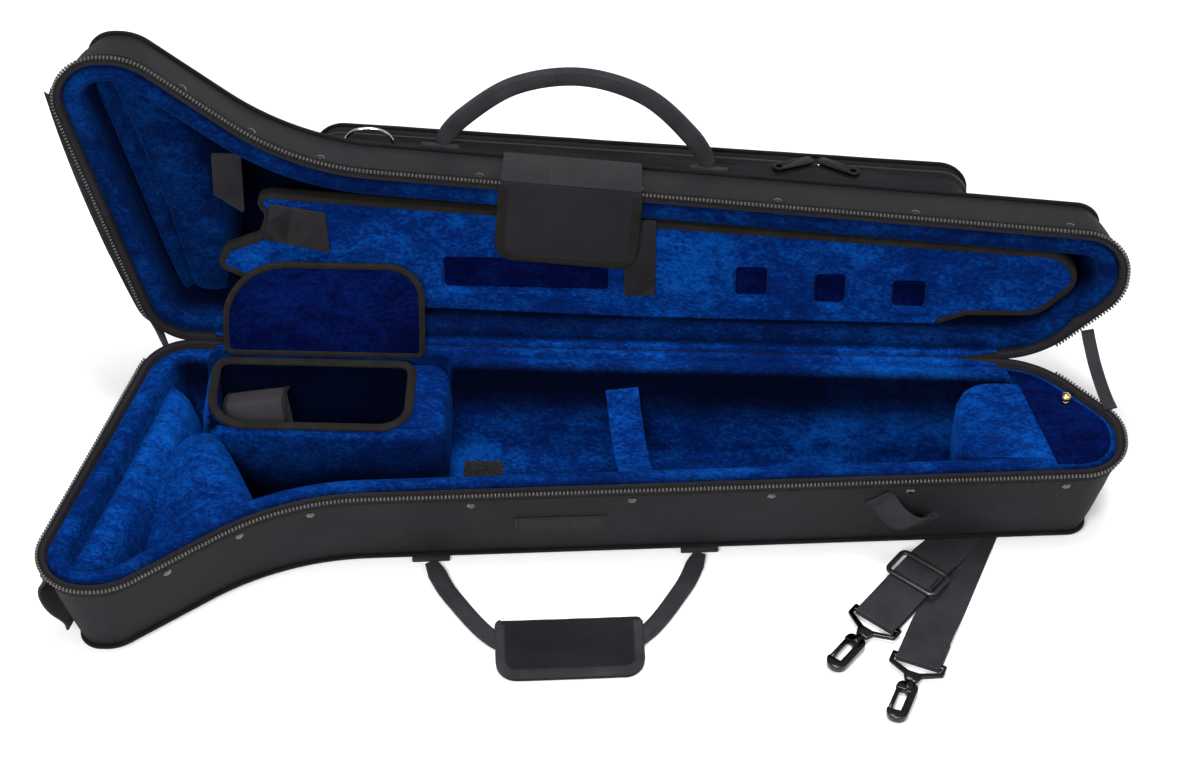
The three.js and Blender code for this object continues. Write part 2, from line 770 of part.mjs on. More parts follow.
placeOn(baseHandleGroup, "base_handle_grip", cut(grip, gripSlot), nylon, baseHandleFrame);

// Shoulder strap: two lengths that cross under the case, folded behind it
const lengthA = { end: [262, -118], heading: Math.atan2(0.8, 0.6) };
const lengthB = { end: [297.5, -163], heading: Math.atan2(0.938, 0.346) };
const barHeight = 6.5;
const barThickness = 3;
const barWide = 4.5;
const curl = barThickness / 2 + fit + webbingThickness / 2;
const lowerLayer = barHeight - curl;
const upperLayer = barHeight + curl;
const strapFloor = 0.3;
const layerPitch = webbingThickness + seat;
const levelB = strapFloor + webbingThickness / 2;
const levelA = levelB + layerPitch;
const curlShare = [0.78, 0.33];
const curlReach = barWide / 2 + fit + webbingThickness / 2;

// The end of a length, looped round the bar of its fitting: s runs back from the bar
const loopedEnd = (tail) => [
  [tail, lowerLayer],
  [-curlReach * curlShare[0], lowerLayer],
  [-curlReach, lowerLayer + curl * curlShare[1]],
  [-curlReach, upperLayer - curl * curlShare[1]],
  [-curlReach * curlShare[0], upperLayer],
];
const tailA = 58;
const tailB = 28;
const dropA = [82, 106];
const dropB = [36, 66];
const reachA = 290;
const reachB = 296;
const riseA = [242, 270];
const foldCount = 4;
const foldLength = 188;
const foldRight = 424;
const foldY = 110;
const stackTop = levelB + layerPitch * (foldCount - 1);
const lineA = [
  ...loopedEnd(tailA),
  [dropA[0], upperLayer],
  [dropA[1], levelA],
  [riseA[0], levelA],
  [riseA[1], stackTop],
  [reachA, stackTop],
];
const lineB = [...loopedEnd(tailB), [dropB[0], upperLayer], [dropB[1], levelB], [reachB, levelB]];
const webA = ribbon(lineA, webbingThickness, strapWidth);
const webB = ribbon(lineB, webbingThickness, strapWidth);
const foldLine = [];
for (let k = 0; k < foldCount; k++) {
  const z = levelB + layerPitch * k;
  const ends = k % 2 ? [0, foldLength] : [foldLength, 0];
  foldLine.push([ends[0], z], [ends[1], z]);
}
const folds = ribbon(foldLine, webbingThickness, strapWidth);
folds.rotateX(Math.PI / 2).translate(foldRight - foldLength, foldY, 0);

function laid(geometry, length) {
  return geometry.rotateX(Math.PI / 2).rotateZ(length.heading).translate(...length.end, 0);
}
place(root, "shoulder_strap", join(laid(webA, lengthA), laid(webB, lengthB), folds), webbing);

// Strap fittings: a bar frame, a swivelling snap hook and its sprung gate on each end.
// In a fitting's own frame x runs forward from the bar, away from the strap.
const frameHalf = 24.5;
const frameRail = 2.5;
const frameHoleHalf = frameHalf - frameRail;
const frameShoulder = [9, 17];
const frameNeck = [8, 5];
const frameNose = 24;
const frameOuter = [
  [-barWide / 2, -frameHalf],
  [frameShoulder[0], -frameHalf],
  [frameShoulder[1], -frameNeck[0]],
  [frameNose, -frameNeck[1]],
  [frameNose, frameNeck[1]],
  [frameShoulder[1], frameNeck[0]],
  [frameShoulder[0], frameHalf],
  [-barWide / 2, frameHalf],
];
const frameHoleReach = [7, 14];
const frameHole = [
  [barWide / 2, -frameHoleHalf],
  [frameHoleReach[0], -frameHoleHalf],
  [frameHoleReach[1], -frameNeck[1]],
  [frameHoleReach[1], frameNeck[1]],
  [frameHoleReach[0], frameHoleHalf],
  [barWide / 2, frameHoleHalf],
];
const hookThickness = 6;
const hookStem = [frameNose + fit, 29];
const stemRadius = 2.5;
const hookBack = 28;
const hookTip = 68;
const hookHalf = 9;
const hookHole = [37, 60, 4.5];
const gateSpan = [38, 60];
const gateThickness = 4;
const gateEase = 0.4;
const hookBackCorner = { radius: 5, steps: 3 };
const hookTipCorner = { radius: 8, steps: 4 };

function fittingOf(length, tag) {
  const pivot = new THREE.Group();
  pivot.position.set(...length.end, barHeight);
  pivot.rotation.z = length.heading + Math.PI;
  root.add(pivot);
  place(
    pivot,
    `strap_frame_${tag}`,
    cut(
      plate(frameOuter, -barThickness / 2, barThickness),
      plate(frameHole, -barThickness, 2 * barThickness),
    ),
    blackMetal,
  );
  const swivel = turned(pivot, `hook_${tag}_swivel`, new THREE.Vector3(hookStem[0], 0, 0), 0);
  const body = plate(
    roundedOutline(
      [
        { x: hookBack, y: hookHalf, ...hookBackCorner },
        { x: hookBack, y: -hookHalf, ...hookBackCorner },
        { x: hookTip, y: -hookHalf, ...hookTipCorner },
        { x: hookTip, y: hookHalf, ...hookTipCorner },
      ],
      0,
    ).map(({ point }) => [point.x, point.y]),
    -hookThickness / 2,
    hookThickness,
  );
  const stem = new THREE.CylinderGeometry(stemRadius, stemRadius, hookStem[1] - hookStem[0], eyeSides);
  stem.rotateZ(Math.PI / 2).translate((hookStem[0] + hookStem[1]) / 2, 0, 0);
  const hole = block(hookHole[0], hookHole[1], -hookHole[2], hookHole[2], -hookThickness, hookThickness);
  const gateSlot = block(
    gateSpan[0] - gateEase - gateThickness / 2,
    gateSpan[1] + gateEase,
    -hookHalf - overrun,
    0,
    -hookThickness,
    hookThickness,
  );
  place(swivel, `snap_hook_${tag}`, cut(join(body, stem), hole, gateSlot), blackMetal);
  const gatePoint = new THREE.Vector3(gateSpan[0], -hookHalf + gateThickness / 2, 0);
  const gateGroup = turned(swivel, `gate_${tag}_pivot`, gatePoint, 0, new THREE.Vector3(0, 0, 1));
  const gateTall = hookThickness - 2 * gateEase;
  const gateRound = new THREE.CylinderGeometry(gateThickness / 2, gateThickness / 2, gateTall, eyeSides);
  gateRound.rotateX(Math.PI / 2).translate(gatePoint.x, gatePoint.y, 0);
  const gate = block(
    gateSpan[0],
    gateSpan[1],
    gatePoint.y - gateThickness / 2,
    gatePoint.y + gateThickness / 2,
    gateEase - hookThickness / 2,
    hookThickness / 2 - gateEase,
  );
  place(gateGroup, `hook_gate_${tag}`, join(gate, gateRound), silver);
}
fittingOf(lengthA, "a");
fittingOf(lengthB, "b");

// Strap adjuster: side bars under the webbing, the middle bar over it
const adjusterPlace = 62;
const adjusterLength = 28;
const adjusterHalf = 25;
const adjusterBar = 4;
const adjusterSide = 3.6;
const adjusterBottom = lowerLayer + webbingThickness / 2 + seat;
const adjusterUnder = upperLayer - webbingThickness / 2 - seat;
const adjusterOver = upperLayer + webbingThickness / 2 + seat;
const adjusterBarHeight = 2.4;
const adjusterTop = adjusterOver + adjusterBarHeight;
const adjusterEnd = adjusterLength / 2;
const adjusterAcross = (x0, x1, z0, z1) => block(x0, x1, -adjusterHalf, adjusterHalf, z0, z1);
const adjusterRail = (y) =>
  block(-adjusterEnd, adjusterEnd, y, y + adjusterSide, adjusterBottom, adjusterTop);
const adjuster = join(
  adjusterRail(-adjusterHalf),
  adjusterRail(adjusterHalf - adjusterSide),
  adjusterAcross(-adjusterEnd, adjusterBar - adjusterEnd, adjusterBottom, adjusterUnder),
  adjusterAcross(adjusterEnd - adjusterBar, adjusterEnd, adjusterBottom, adjusterUnder),
  adjusterAcross(-adjusterBar / 2, adjusterBar / 2, adjusterOver, adjusterTop),
);
adjuster.translate(adjusterPlace, 0, 0).rotateZ(lengthA.heading).translate(...lengthA.end, 0);
place(root, "strap_adjuster", adjuster, blackMetal);

// Mouthpiece pouch leaning in the accessory box, with its flap
const pouchX = [boxLeft + 30, boxLeft + 84];
const pouchY = [boxFront + 12, boxFront + 38];
const pouchSettle = 4.1;
const pouchBottom = boxBottom + seat - pouchSettle;
const pouchTop = boxTop - 19;
const pouchLean = THREE.MathUtils.degToRad(28);
const pouchLeanTurn = THREE.MathUtils.degToRad(20);
const pouchLeanAxis = new THREE.Vector3(Math.cos(pouchLeanTurn), Math.sin(pouchLeanTurn), 0);
const pouchFoot = new THREE.Vector3(pouchX[0], pouchY[1], pouchBottom);
const pouchWall = 2;
const pouchCorner = { radius: 10, steps: 3 };
const pouchCorners = [
  { x: pouchX[0], y: pouchY[1], ...pouchCorner },
  { x: pouchX[0], y: pouchY[0], ...pouchCorner },
  { x: pouchX[1], y: pouchY[0], ...pouchCorner },
  { x: pouchX[1], y: pouchY[1], ...pouchCorner },
];
const pouchRing = (z, inset) =>
  roundedOutline(pouchCorners, inset).map(({ point }) => new THREE.Vector3(point.x, point.y, z));
const pouchGroup = turned(root, "pouch_slide", pouchFoot, -pouchLean, pouchLeanAxis);
place(
  pouchGroup,
  "mouthpiece_pouch",
  skin([
    pouchRing(pouchBottom, 3 * pouchWall),
    pouchRing(pouchBottom + 6 * pouchWall, 0),
    pouchRing(pouchTop, 0),
    pouchRing(pouchTop, pouchWall),
    pouchRing(pouchBottom + 6 * pouchWall, pouchWall),
    pouchRing(pouchBottom + pouchWall, 4 * pouchWall),
  ]),
  nylon,
);
const pouchHinge = new THREE.Vector3(
  (pouchX[0] + pouchX[1]) / 2,
  pouchY[1] - pouchWall,
  pouchTop + seat + pouchWall,
);
const pouchFlapGroup = turned(pouchGroup, "pouch_flap_pivot", pouchHinge, 0);
const pouchFlapDrop = 38;
const pouchFlapLine = [
  [pouchHinge.y, pouchHinge.z - pouchWall / 2],
  [pouchY[0] - pouchWall, pouchHinge.z - pouchWall / 2],
  [pouchY[0] - 2 * pouchWall, pouchHinge.z - 2.5 * pouchWall],
  [pouchY[0] - 2 * pouchWall, pouchTop - pouchFlapDrop],
];
const pouchFlap = ribbon(pouchFlapLine, pouchWall, pouchX[1] - pouchX[0]);
pouchFlap.rotateY(Math.PI / 2).rotateX(Math.PI / 2).translate(pouchHinge.x, 0, 0);
place(pouchFlapGroup, "pouch_flap", pouchFlap, nylon);

// The lid, modelled shut and turned open about the hinge at the back of the rim
const hingePoint = new THREE.Vector3(0, hingeSide, rimHeight);
const lidBody = turned(root, "lid_hinge_pivot", hingePoint, -openAngle);
const openTurn = new THREE.Quaternion().setFromAxisAngle(new THREE.Vector3(1, 0, 0), -openAngle);
const whenOpen = (point) => point.clone().sub(hingePoint).applyQuaternion(openTurn).add(hingePoint);
place(lidBody, "lid_shell", shellOf(lid), nylon);
const knobRoom = new THREE.CylinderGeometry(1.5 * knobRadius, 1.5 * knobRadius, 4 * knobHeight, 16);
knobRoom.rotateX(Math.PI / 2).translate(knobPlace[0], knobPlace[1], endLidTop);
place(lidBody, "lid_lining", cut(liningOf(lid), knobRoom), velvet);
place(lidBody, "lid_piping", pipingOf(lid), binding);
place(lidBody, "lid_zipper", zipperOf(lid), zipMetal);
const lidInside = insideOf(lid);

// Ridged cushion along the lid's bell end
const cushionStart = 46;
const cushionWidth = 62;
const cushionBottom = rimHeight + 24.1;
const cushionTop = lidTop - lidFloor - seat;
const cushionY = [hingeSide - bellEndWidth + 26, hingeSide - 31];
const ridgeWidthShare = [0, 0, 0.05, 0.17, 0.29, 0.33, 0.37, 0.5, 0.63, 0.67, 0.71, 0.83, 0.95, 1, 1];
const ridgeRiseShare = [0, 0.78, 0.9, 1, 0.9, 0.78, 0.9, 1, 0.9, 0.78, 0.9, 1, 0.9, 0.78, 0];
const cushionShare = [0, 0.02, 0.08, 0.2, 0.4, 0.6, 0.8, 0.92, 0.98, 1];
const cushionDrawShare = [0.7, 0.86, 0.97, 1, 0.98, 1, 0.98, 0.97, 0.86, 0.7];
const cushionRings = cushionShare.map((share, i) => {
  const y = cushionY[0] + (cushionY[1] - cushionY[0]) * share;
  const start = endWallAt(y) + cushionStart;
  return ridgeWidthShare.map((w, k) => {
    const rise = (cushionTop - cushionBottom) * ridgeRiseShare[k] * cushionDrawShare[i];
    return new THREE.Vector3(start + cushionWidth * w, y, cushionTop - rise);
  });
});
place(lidBody, "bell_cushion", meet(skin(cushionRings), lidInside), velvet);

// Slide panel across the lid, with its binding and its moulded recesses
const panelFront = rimHeight + 12;
const panelThickness = 10;
const panelBack = hingeSide - 31;
const panelCorners = [
  { x: left + 214, y: panelBack - 8, radius: 60, steps: 3 },
  { x: left + 144, y: panelBack - 44, radius: 7, steps: 2 },
  { x: left + 152, y: panelBack - 61, radius: 7, steps: 2 },
  { x: left + 183, y: panelBack - 74, radius: 9, steps: 3 },
  { x: left + 191, y: panelBack - 99, radius: 12, steps: 3 },
  { x: left + 175, y: panelBack - 120, radius: 8, steps: 3 },
  { x: right - 60, y: panelBack - 74, radius: 26, steps: 4 },
  { x: right - 35, y: panelBack - 50, radius: 20, steps: 4 },
  { x: right - 74, y: panelBack - 11, radius: 26, steps: 4 },
  { x: right - 137, y: panelBack - 10, radius: 14, steps: 3 },
  { x: right - 161, y: panelBack, radius: 14, steps: 3 },
  { x: 46, y: panelBack, radius: 200, steps: 2 },
];
const panelRing = (z, inset) =>
  roundedOutline(panelCorners, inset).map(({ point }) => new THREE.Vector3(point.x, point.y, z));
const recessDepth = 7;
const recessSides = [
  [left + 344, 18, panelBack - 57, panelBack - 21],
  [right - 345, right - 315, panelBack - 53, panelBack - 19],
  [right - 274, right - 245, panelBack - 47, panelBack - 13],
  [right - 204, right - 173, panelBack - 42, panelBack - 10],
];
const recesses = recessSides.map((sides) =>
  block(...sides, panelFront - overrun, panelFront + recessDepth),
);
place(
  lidBody,
  "slide_panel",
  cut(skin([panelRing(panelFront, 0), panelRing(panelFront + panelThickness, 0)]), ...recesses),
  velvet,
);
const panelBindingWidth = 2;
const panelBindingLip = 0.5;
function edging(ringOf, z0, z1) {
  const outer = -seat - panelBindingWidth;
  return skin([ringOf(z0, outer), ringOf(z1, outer), ringOf(z1, -seat), ringOf(z0, -seat)], true);
}
place(
  lidBody,
  "panel_binding",
  edging(panelRing, panelFront - panelBindingLip, panelFront + panelThickness + panelBindingLip),
  binding,
);

// Straps that hold a slide to the panel
const strapTop = panelFront - panelBindingLip - seat;
const strapBottom = strapTop - webbingThickness;
const panelStrapPlan = [
  [left + 186, panelBack - 74],
  [left + 193, panelBack - 111],
  [left + 241, panelBack - 103],
  [left + 244, panelBack - 61],
];
const middleStrapSides = [31, 59, panelBack - 103, panelBack - 22];
const strapTabSides = [left + 144, left + 170, panelBack - 172, panelBack - 101];
place(lidBody, "panel_strap", plate(panelStrapPlan, strapBottom, webbingThickness), webbing);
place(lidBody, "middle_strap", block(...middleStrapSides, strapBottom, strapTop), webbing);
const strapTab = block(...strapTabSides, strapBottom, strapTop);
place(lidBody, "strap_tab", meet(strapTab, lidInside), webbing);

// Music pocket on the outside, with its cover, zipper sliders and pulls
const pocketHeight = 52;
const pocketWall = 2.5;
const pocketRadius = 24;
const pocketSteps = 4;
const pocketBack = hingeSide - 43;
const pocketLeft = [left + 222, hingeSide - 145];
const pocketRight = [right - 136, hingeSide - 114];
const pocketCorners = [
  { x: pocketLeft[0], y: pocketBack, radius: pocketRadius, steps: pocketSteps },
  { x: pocketLeft[0], y: pocketLeft[1], radius: pocketRadius, steps: pocketSteps },
  { x: pocketRight[0], y: pocketRight[1], radius: pocketRadius, steps: pocketSteps },
  { x: pocketRight[0], y: pocketBack, radius: pocketRadius, steps: pocketSteps },
];
const pocketRing = (z, inset) =>
  roundedOutline(pocketCorners, inset).map(({ point }) => new THREE.Vector3(point.x, point.y, z));
const pocketBottom = lidTop + seat;
const pocketTop = pocketBottom + pocketHeight;
place(
  lidBody,
  "music_pocket",
  skin(
    [
      pocketRing(pocketBottom, 0),
      pocketRing(pocketTop, 0),
      pocketRing(pocketTop, pocketWall),
      pocketRing(pocketBottom, pocketWall),
    ],
    true,
  ),
  nylon,
);
const coverThickness = 2;
const coverBottom = pocketTop + seat;
const coverRise = [0, coverThickness, coverThickness + 2, coverThickness + 4, coverThickness + 5];
const coverInset = [0, 0, 6, 14, 24];
const coverHinge = new THREE.Vector3(0, pocketBack, coverBottom);
const coverGroup = turned(lidBody, "pocket_cover_pivot", coverHinge, 0);
place(
  coverGroup,
  "pocket_cover",
  skin(coverRise.map((rise, i) => pocketRing(coverBottom + rise, coverInset[i]))),
  nylon,
);

const pocketEdge = new THREE.Vector3(
  pocketRight[0] - pocketLeft[0],
  pocketRight[1] - pocketLeft[1],
  0,
).normalize();
const pocketInward = new THREE.Vector3(-pocketEdge.y, pocketEdge.x, 0);
const slidersX = right - 273;
const sliderApart = 1.5;
const sliderRise = 36;
const sliderSize = [9, 4, 7];
const sliderFrame = new THREE.Matrix4().makeBasis(pocketEdge, pocketInward, new THREE.Vector3(0, 0, 1));
const sliderPoint = new THREE.Vector3(
  slidersX,
  pocketLeft[1] + ((slidersX - pocketLeft[0]) * pocketEdge.y) / pocketEdge.x,
  pocketBottom + sliderRise,
);
sliderFrame.setPosition(sliderPoint);
const pullLength = 37;
const pullWidth = 12;
const pullThickness = 2;
const pullCorner = { radius: 4, steps: 3 };
const pullDroop = THREE.MathUtils.degToRad(27);
const pullHole = 3;
for (const [side, tag] of [[-1, "left"], [1, "right"]]) {
  const sliderMid = side * (sliderApart + sliderSize[0] / 2);
  const group = turned(lidBody, `pocket_slider_${tag}_slide`, sliderPoint, 0);
  const slider = block(
    sliderMid - sliderSize[0] / 2,
    sliderMid + sliderSize[0] / 2,
    -seat - sliderSize[1],
    -seat,
    -sliderSize[2] / 2,
    sliderSize[2] / 2,
  );
  placeOn(group, `pocket_slider_${tag}`, slider, silver, sliderFrame);
  const pullStand = -2 * seat - sliderSize[1] - pullThickness;
  const pivot = new THREE.Vector3(sliderMid, pullStand, 0).applyMatrix4(sliderFrame);
  const pullAxis = pocketInward.clone().multiplyScalar(side);
  const pullGroup = turned(group, `pocket_pull_${tag}_pivot`, pivot, 0, pullAxis);
  const outline = roundedOutline(
    [
      { x: -pullCorner.radius, y: pullWidth / 2, ...pullCorner },
      { x: -pullCorner.radius, y: -pullWidth / 2, ...pullCorner },
      { x: pullLength, y: -pullWidth / 2, ...pullCorner },
      { x: pullLength, y: pullWidth / 2, ...pullCorner },
    ],
    0,
  ).map(({ point }) => [point.x, point.y]);
  const pull = plate(outline, 0, pullThickness);
  const eye = new THREE.CylinderGeometry(pullHole, pullHole, 3 * pullThickness, eyeSides);
  eye.rotateX(Math.PI / 2).translate(pullLength - pullWidth / 2, 0, 0);
  const piece = cut(pull, eye).rotateX(-Math.PI / 2).rotateY(pullDroop);
  if (side < 0) {
    piece.rotateZ(Math.PI).translate(0, pullThickness, 0);
  }
  piece.translate(sliderMid, pullStand, 0);
  placeOn(pullGroup, `pocket_pull_${tag}`, piece, blackMetal, sliderFrame);
}

// D-ring beside the pocket
const ringMiddle = left + 274;
const ringBarY = hingeSide - 155;
const ringStand = 3;
const ringZ = lidTop + ringStand;
const ringTube = 1.6;
const ringHalf = 21;
const ringReach = 17;
const ringTabHalf = 11;
const ringTabLength = 7;
const ringSteps = 40;
const ringSides = 8;
const ringPath = new THREE.CatmullRomCurve3(
  [
    [-1, 0],
    [-0.5, 0],
    [0, 0],
    [0.5, 0],
    [1, 0],
    [0.95, 0.45],
    [0.6, 0.86],
    [0, 1],
    [-0.6, 0.86],
    [-0.95, 0.45],
  ].map(([s, r]) => new THREE.Vector3(ringMiddle + ringHalf * s, ringBarY - ringReach * r, ringZ)),
  true,
);
const ringGeometry = new THREE.TubeGeometry(ringPath, ringSteps, ringTube, ringSides, true);
const ringPoint = new THREE.Vector3(ringMiddle, ringBarY, ringZ);
const ringGroup = turned(lidBody, "d_ring_pivot", ringPoint, 0);
place(ringGroup, "d_ring", ringGeometry, silver);
place(
  lidBody,
  "d_ring_tab",
  block(
    ringMiddle - ringTabHalf,
    ringMiddle + ringTabHalf,
    ringBarY + ringTube + seat,
    ringBarY + ringTube + seat + ringTabLength,
    pocketBottom,
    ringZ + ringTube,
  ),
  webbing,
);

// Lid handle: as the base's, without the grip
const lidHandleRise = 3.5;
const lidHandleReach = 80;
anchorsOf(lidBody, lid, lidHandleRise, ["lid_handle_anchor_left", "lid_handle_anchor_right"]);
const lidHandleFrame = handleFrame(lid, lidHandleRise);
const lidHandlePoint = new THREE.Vector3().setFromMatrixPosition(lidHandleFrame);
const lidHandleGroup = turned(lidBody, "lid_handle_pivot", lidHandlePoint, 0, frontAxis.clone().negate());
placeOn(lidHandleGroup, "lid_handle", handleOf(lidHandleReach, 1), webbing, lidHandleFrame);

// Closing flap: sewn to the lid's front wall, hanging inside the open lid
const flapMiddle = -16;
const flapWidth = 124;
const flapLength = 85;
const flapThickness = 1.5;
const flapCorner = { radius: 16, steps: 5 };
const flapStand = 3.2;
const flapRootTop = 12;
const flapRootBottom = 1.4;
const flapHingeDrop = 2.5;
const flapTurn = THREE.MathUtils.degToRad(96);
const flapWallTop = frontPoint(lid, flapMiddle, flapRootTop, flapStand);
const flapWallBottom = frontPoint(lid, flapMiddle, lidDepth + flapRootBottom, flapStand);
const flapWallLength = flapWallTop.distanceTo(flapWallBottom);
const flapRoot = block(-flapWidth / 2, flapWidth / 2, -flapThickness, 0, 0, flapWallLength);
const flapRootFrame = frontFrame(lid, flapMiddle, lidDepth + flapRootBottom, flapStand);
placeOn(lidBody, "flap_root", flapRoot, nylon, flapRootFrame);
const flapHinge = frontPoint(lid, flapMiddle, lidDepth + flapHingeDrop, flapStand + flapThickness);
const flapGroup = turned(lidBody, "closing_flap_pivot", flapHinge, flapTurn, frontAxis);
const flapOutline = roundedOutline(
  [
    { x: -flapWidth / 2, y: 0, radius: sharpestRadius, steps: 1 },
    { x: -flapWidth / 2, y: -flapLength, ...flapCorner },
    { x: flapWidth / 2, y: -flapLength, ...flapCorner },
    { x: flapWidth / 2, y: 0, radius: sharpestRadius, steps: 1 },
  ],
  0,
).map(({ point }) => [point.x, point.y]);
const flapPlate = plate(flapOutline, -flapThickness / 2, flapThickness).rotateX(Math.PI / 2);
const flapEye = new THREE.CylinderGeometry(flapThickness / 2, flapThickness / 2, flapWidth, eyeSides);
flapEye.rotateZ(Math.PI / 2);
const flapFrame = new THREE.Matrix4().makeBasis(
  frontAxis,
  new THREE.Vector3(-frontAxis.y, frontAxis.x, 0),
  new THREE.Vector3(0, 0, 1),
);
flapFrame.setPosition(flapHinge);
placeOn(flapGroup, "closing_flap", join(flapPlate, flapEye), nylon, flapFrame);

// Lid of the accessory box, with its binding
const smallLidZ = [boxTop + 3.9, boxTop + 8.5];
const smallLidHinge = new THREE.Vector3(0, hingeSide - 10, (smallLidZ[0] + smallLidZ[1]) / 2);
const smallLidOpen = THREE.MathUtils.degToRad(109);
const smallLidX = [boxLeft + 17, boxRight - 26];
const smallLidY = [boxFront + 2, smallLidHinge.y - 1.3];
const smallLidFoot = { radius: 5, steps: 2 };
const smallLidCorners = [
  { x: smallLidX[0], y: smallLidY[1], ...smallLidFoot },
  { x: smallLidX[0], y: smallLidY[0], radius: 58, steps: 8 },
  { x: smallLidX[1], y: smallLidY[0], radius: 30, steps: 6 },
  { x: smallLidX[1], y: smallLidY[1], ...smallLidFoot },
];
const smallLidRing = (z, inset) =>
  roundedOutline(smallLidCorners, inset).map(({ point }) => new THREE.Vector3(point.x, point.y, z));
const smallLidGroup = turned(root, "accessory_lid_pivot", smallLidHinge, -smallLidOpen);
place(smallLidGroup, "accessory_lid", skin(smallLidZ.map((z) => smallLidRing(z, 0))), velvet);
place(smallLidGroup, "accessory_lid_binding", edging(smallLidRing, ...smallLidZ), binding);

// Cloth hinge along the back, and the two stays
const clothThickness = 0.8;
const clothSides = [left + 140, right - 113];
const clothReach = 11;
const clothStand = seat + clothThickness / 2;
const backWall = (half, rise) =>
  new THREE.Vector3(0, hingeSide - draftAt(half, rise) + clothStand, heightOf(half, rise));
const clothLine = [
  backWall(base, baseDepth - clothReach),
  backWall(base, baseDepth - 2 * clothStand),
  whenOpen(backWall(lid, lidDepth - 2 * clothStand)),
  whenOpen(backWall(lid, lidDepth - clothReach)),
].map((p) => [p.y, p.z]);
const cloth = ribbon(clothLine, clothThickness, clothSides[1] - clothSides[0]);
cloth.rotateY(Math.PI / 2).rotateX(Math.PI / 2).translate((clothSides[0] + clothSides[1]) / 2, 0, 0);
place(root, "hinge_fabric", cloth, nylon);

function stayOf(name, from, to, rises, width) {
  const run = Math.hypot(to[0] - from[0], to[1] - from[1]);
  const line = rises.map(([share, rise]) => [run * share, baseDepth + rise]);
  const strip = ribbon(line, tapeThickness, width).rotateX(Math.PI / 2);
  strip.rotateZ(Math.atan2(to[1] - from[1], to[0] - from[0])).translate(from[0], from[1], 0);
  place(root, name, strip, webbing);
}
const stayFoot = seat + tapeThickness / 2;
const stayWidth = { left: 15, right: 12 };
stayOf(
  "stay_right",
  [right - 10.5, hingeSide - 58.5],
  [right - 28, hingeSide + 10],
  [[0, stayFoot], [0.25, stayFoot + 1], [0.6, 10], [0.85, 21], [1, 30]],
  stayWidth.right,
);
stayOf(
  "stay_left",
  [left + 77, hingeSide - 19],
  [left + 63, hingeSide + 27],
  [[0, stayFoot], [0.12, 4], [0.4, 30], [0.64, 70], [0.83, 110], [1, 137]],
  stayWidth.left,
);

export default root;
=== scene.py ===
from math import asin, atan2, cos, hypot, pi, radians, sin, sqrt, tan

import bmesh
import bpy
from mathutils import Matrix, Vector, noise


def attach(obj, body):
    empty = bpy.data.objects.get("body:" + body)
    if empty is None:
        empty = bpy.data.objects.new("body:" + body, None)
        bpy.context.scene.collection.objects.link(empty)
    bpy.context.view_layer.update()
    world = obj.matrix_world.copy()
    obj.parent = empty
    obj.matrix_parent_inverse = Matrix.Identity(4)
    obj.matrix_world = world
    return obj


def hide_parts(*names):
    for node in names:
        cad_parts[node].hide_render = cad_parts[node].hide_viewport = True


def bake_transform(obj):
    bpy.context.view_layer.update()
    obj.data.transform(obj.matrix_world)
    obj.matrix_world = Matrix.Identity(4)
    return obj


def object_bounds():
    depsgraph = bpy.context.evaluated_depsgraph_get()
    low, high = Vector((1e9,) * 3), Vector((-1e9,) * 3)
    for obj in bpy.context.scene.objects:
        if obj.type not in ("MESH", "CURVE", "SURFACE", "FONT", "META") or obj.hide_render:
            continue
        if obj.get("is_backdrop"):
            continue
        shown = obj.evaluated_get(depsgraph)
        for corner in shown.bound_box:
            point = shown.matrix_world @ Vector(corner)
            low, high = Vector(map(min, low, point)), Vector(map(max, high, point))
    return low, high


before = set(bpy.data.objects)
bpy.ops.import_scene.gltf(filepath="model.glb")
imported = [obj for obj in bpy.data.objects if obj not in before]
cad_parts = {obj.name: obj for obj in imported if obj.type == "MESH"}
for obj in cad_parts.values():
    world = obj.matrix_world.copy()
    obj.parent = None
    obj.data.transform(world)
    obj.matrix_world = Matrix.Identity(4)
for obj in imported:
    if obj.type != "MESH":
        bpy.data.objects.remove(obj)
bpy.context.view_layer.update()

# camera, at the angle that the open case is seen from
cameraView = {"place": (0.0736, -1.9154, 2.2605), "tilt": 42.7, "turn": 1.8, "lens": 97.5, "far": 30}
bpy.ops.object.camera_add(
    location=cameraView["place"],
    rotation=(radians(cameraView["tilt"]), 0, radians(cameraView["turn"])),
)
camera = bpy.context.object
camera.data.lens = cameraView["lens"]
camera.data.sensor_width = 36
camera.data.clip_end = cameraView["far"]
bpy.context.scene.camera = camera
bpy.context.scene.view_settings.view_transform = "Standard"
print("camera set")


# node materials

def newMaterial(name, **sockets):
    material = bpy.data.materials.new(name)
    material.use_nodes = True
    shader = material.node_tree.nodes["Principled BSDF"]
    for socket, value in sockets.items():
        shader.inputs[socket.replace("_", " ")].default_value = value
    return material, material.node_tree, shader


def plugIn(tree, shader, **sockets):
    for socket, value in sockets.items():
        tree.links.new(value, shader.inputs[socket.replace("_", " ")])


def addNode(tree, kind, inputs=None, **settings):
    node = tree.nodes.new("ShaderNode" + kind)
    for key, value in settings.items():
        setattr(node, key, value)
    for key, value in (inputs or {}).items():
        if isinstance(value, bpy.types.NodeSocket):
            tree.links.new(value, node.inputs[key])
        else:
            node.inputs[key].default_value = value
    return node


def objectCoordinates(tree, scale=(1, 1, 1), turn=(0, 0, 0)):
    place = addNode(tree, "TexCoord").outputs["Object"]
    return addNode(tree, "Mapping", {"Vector": place, "Scale": scale, "Rotation": turn}).outputs["Vector"]


def clothCoordinates(tree):
    return addNode(tree, "UVMap", uv_map="cloth").outputs["UV"]


def noiseOf(tree, vector, scale, detail=3, roughness=0.55, distortion=0):
    return addNode(tree, "TexNoise", {
        "Vector": vector, "Scale": scale, "Detail": detail, "Roughness": roughness, "Distortion": distortion,
    }).outputs["Fac"]


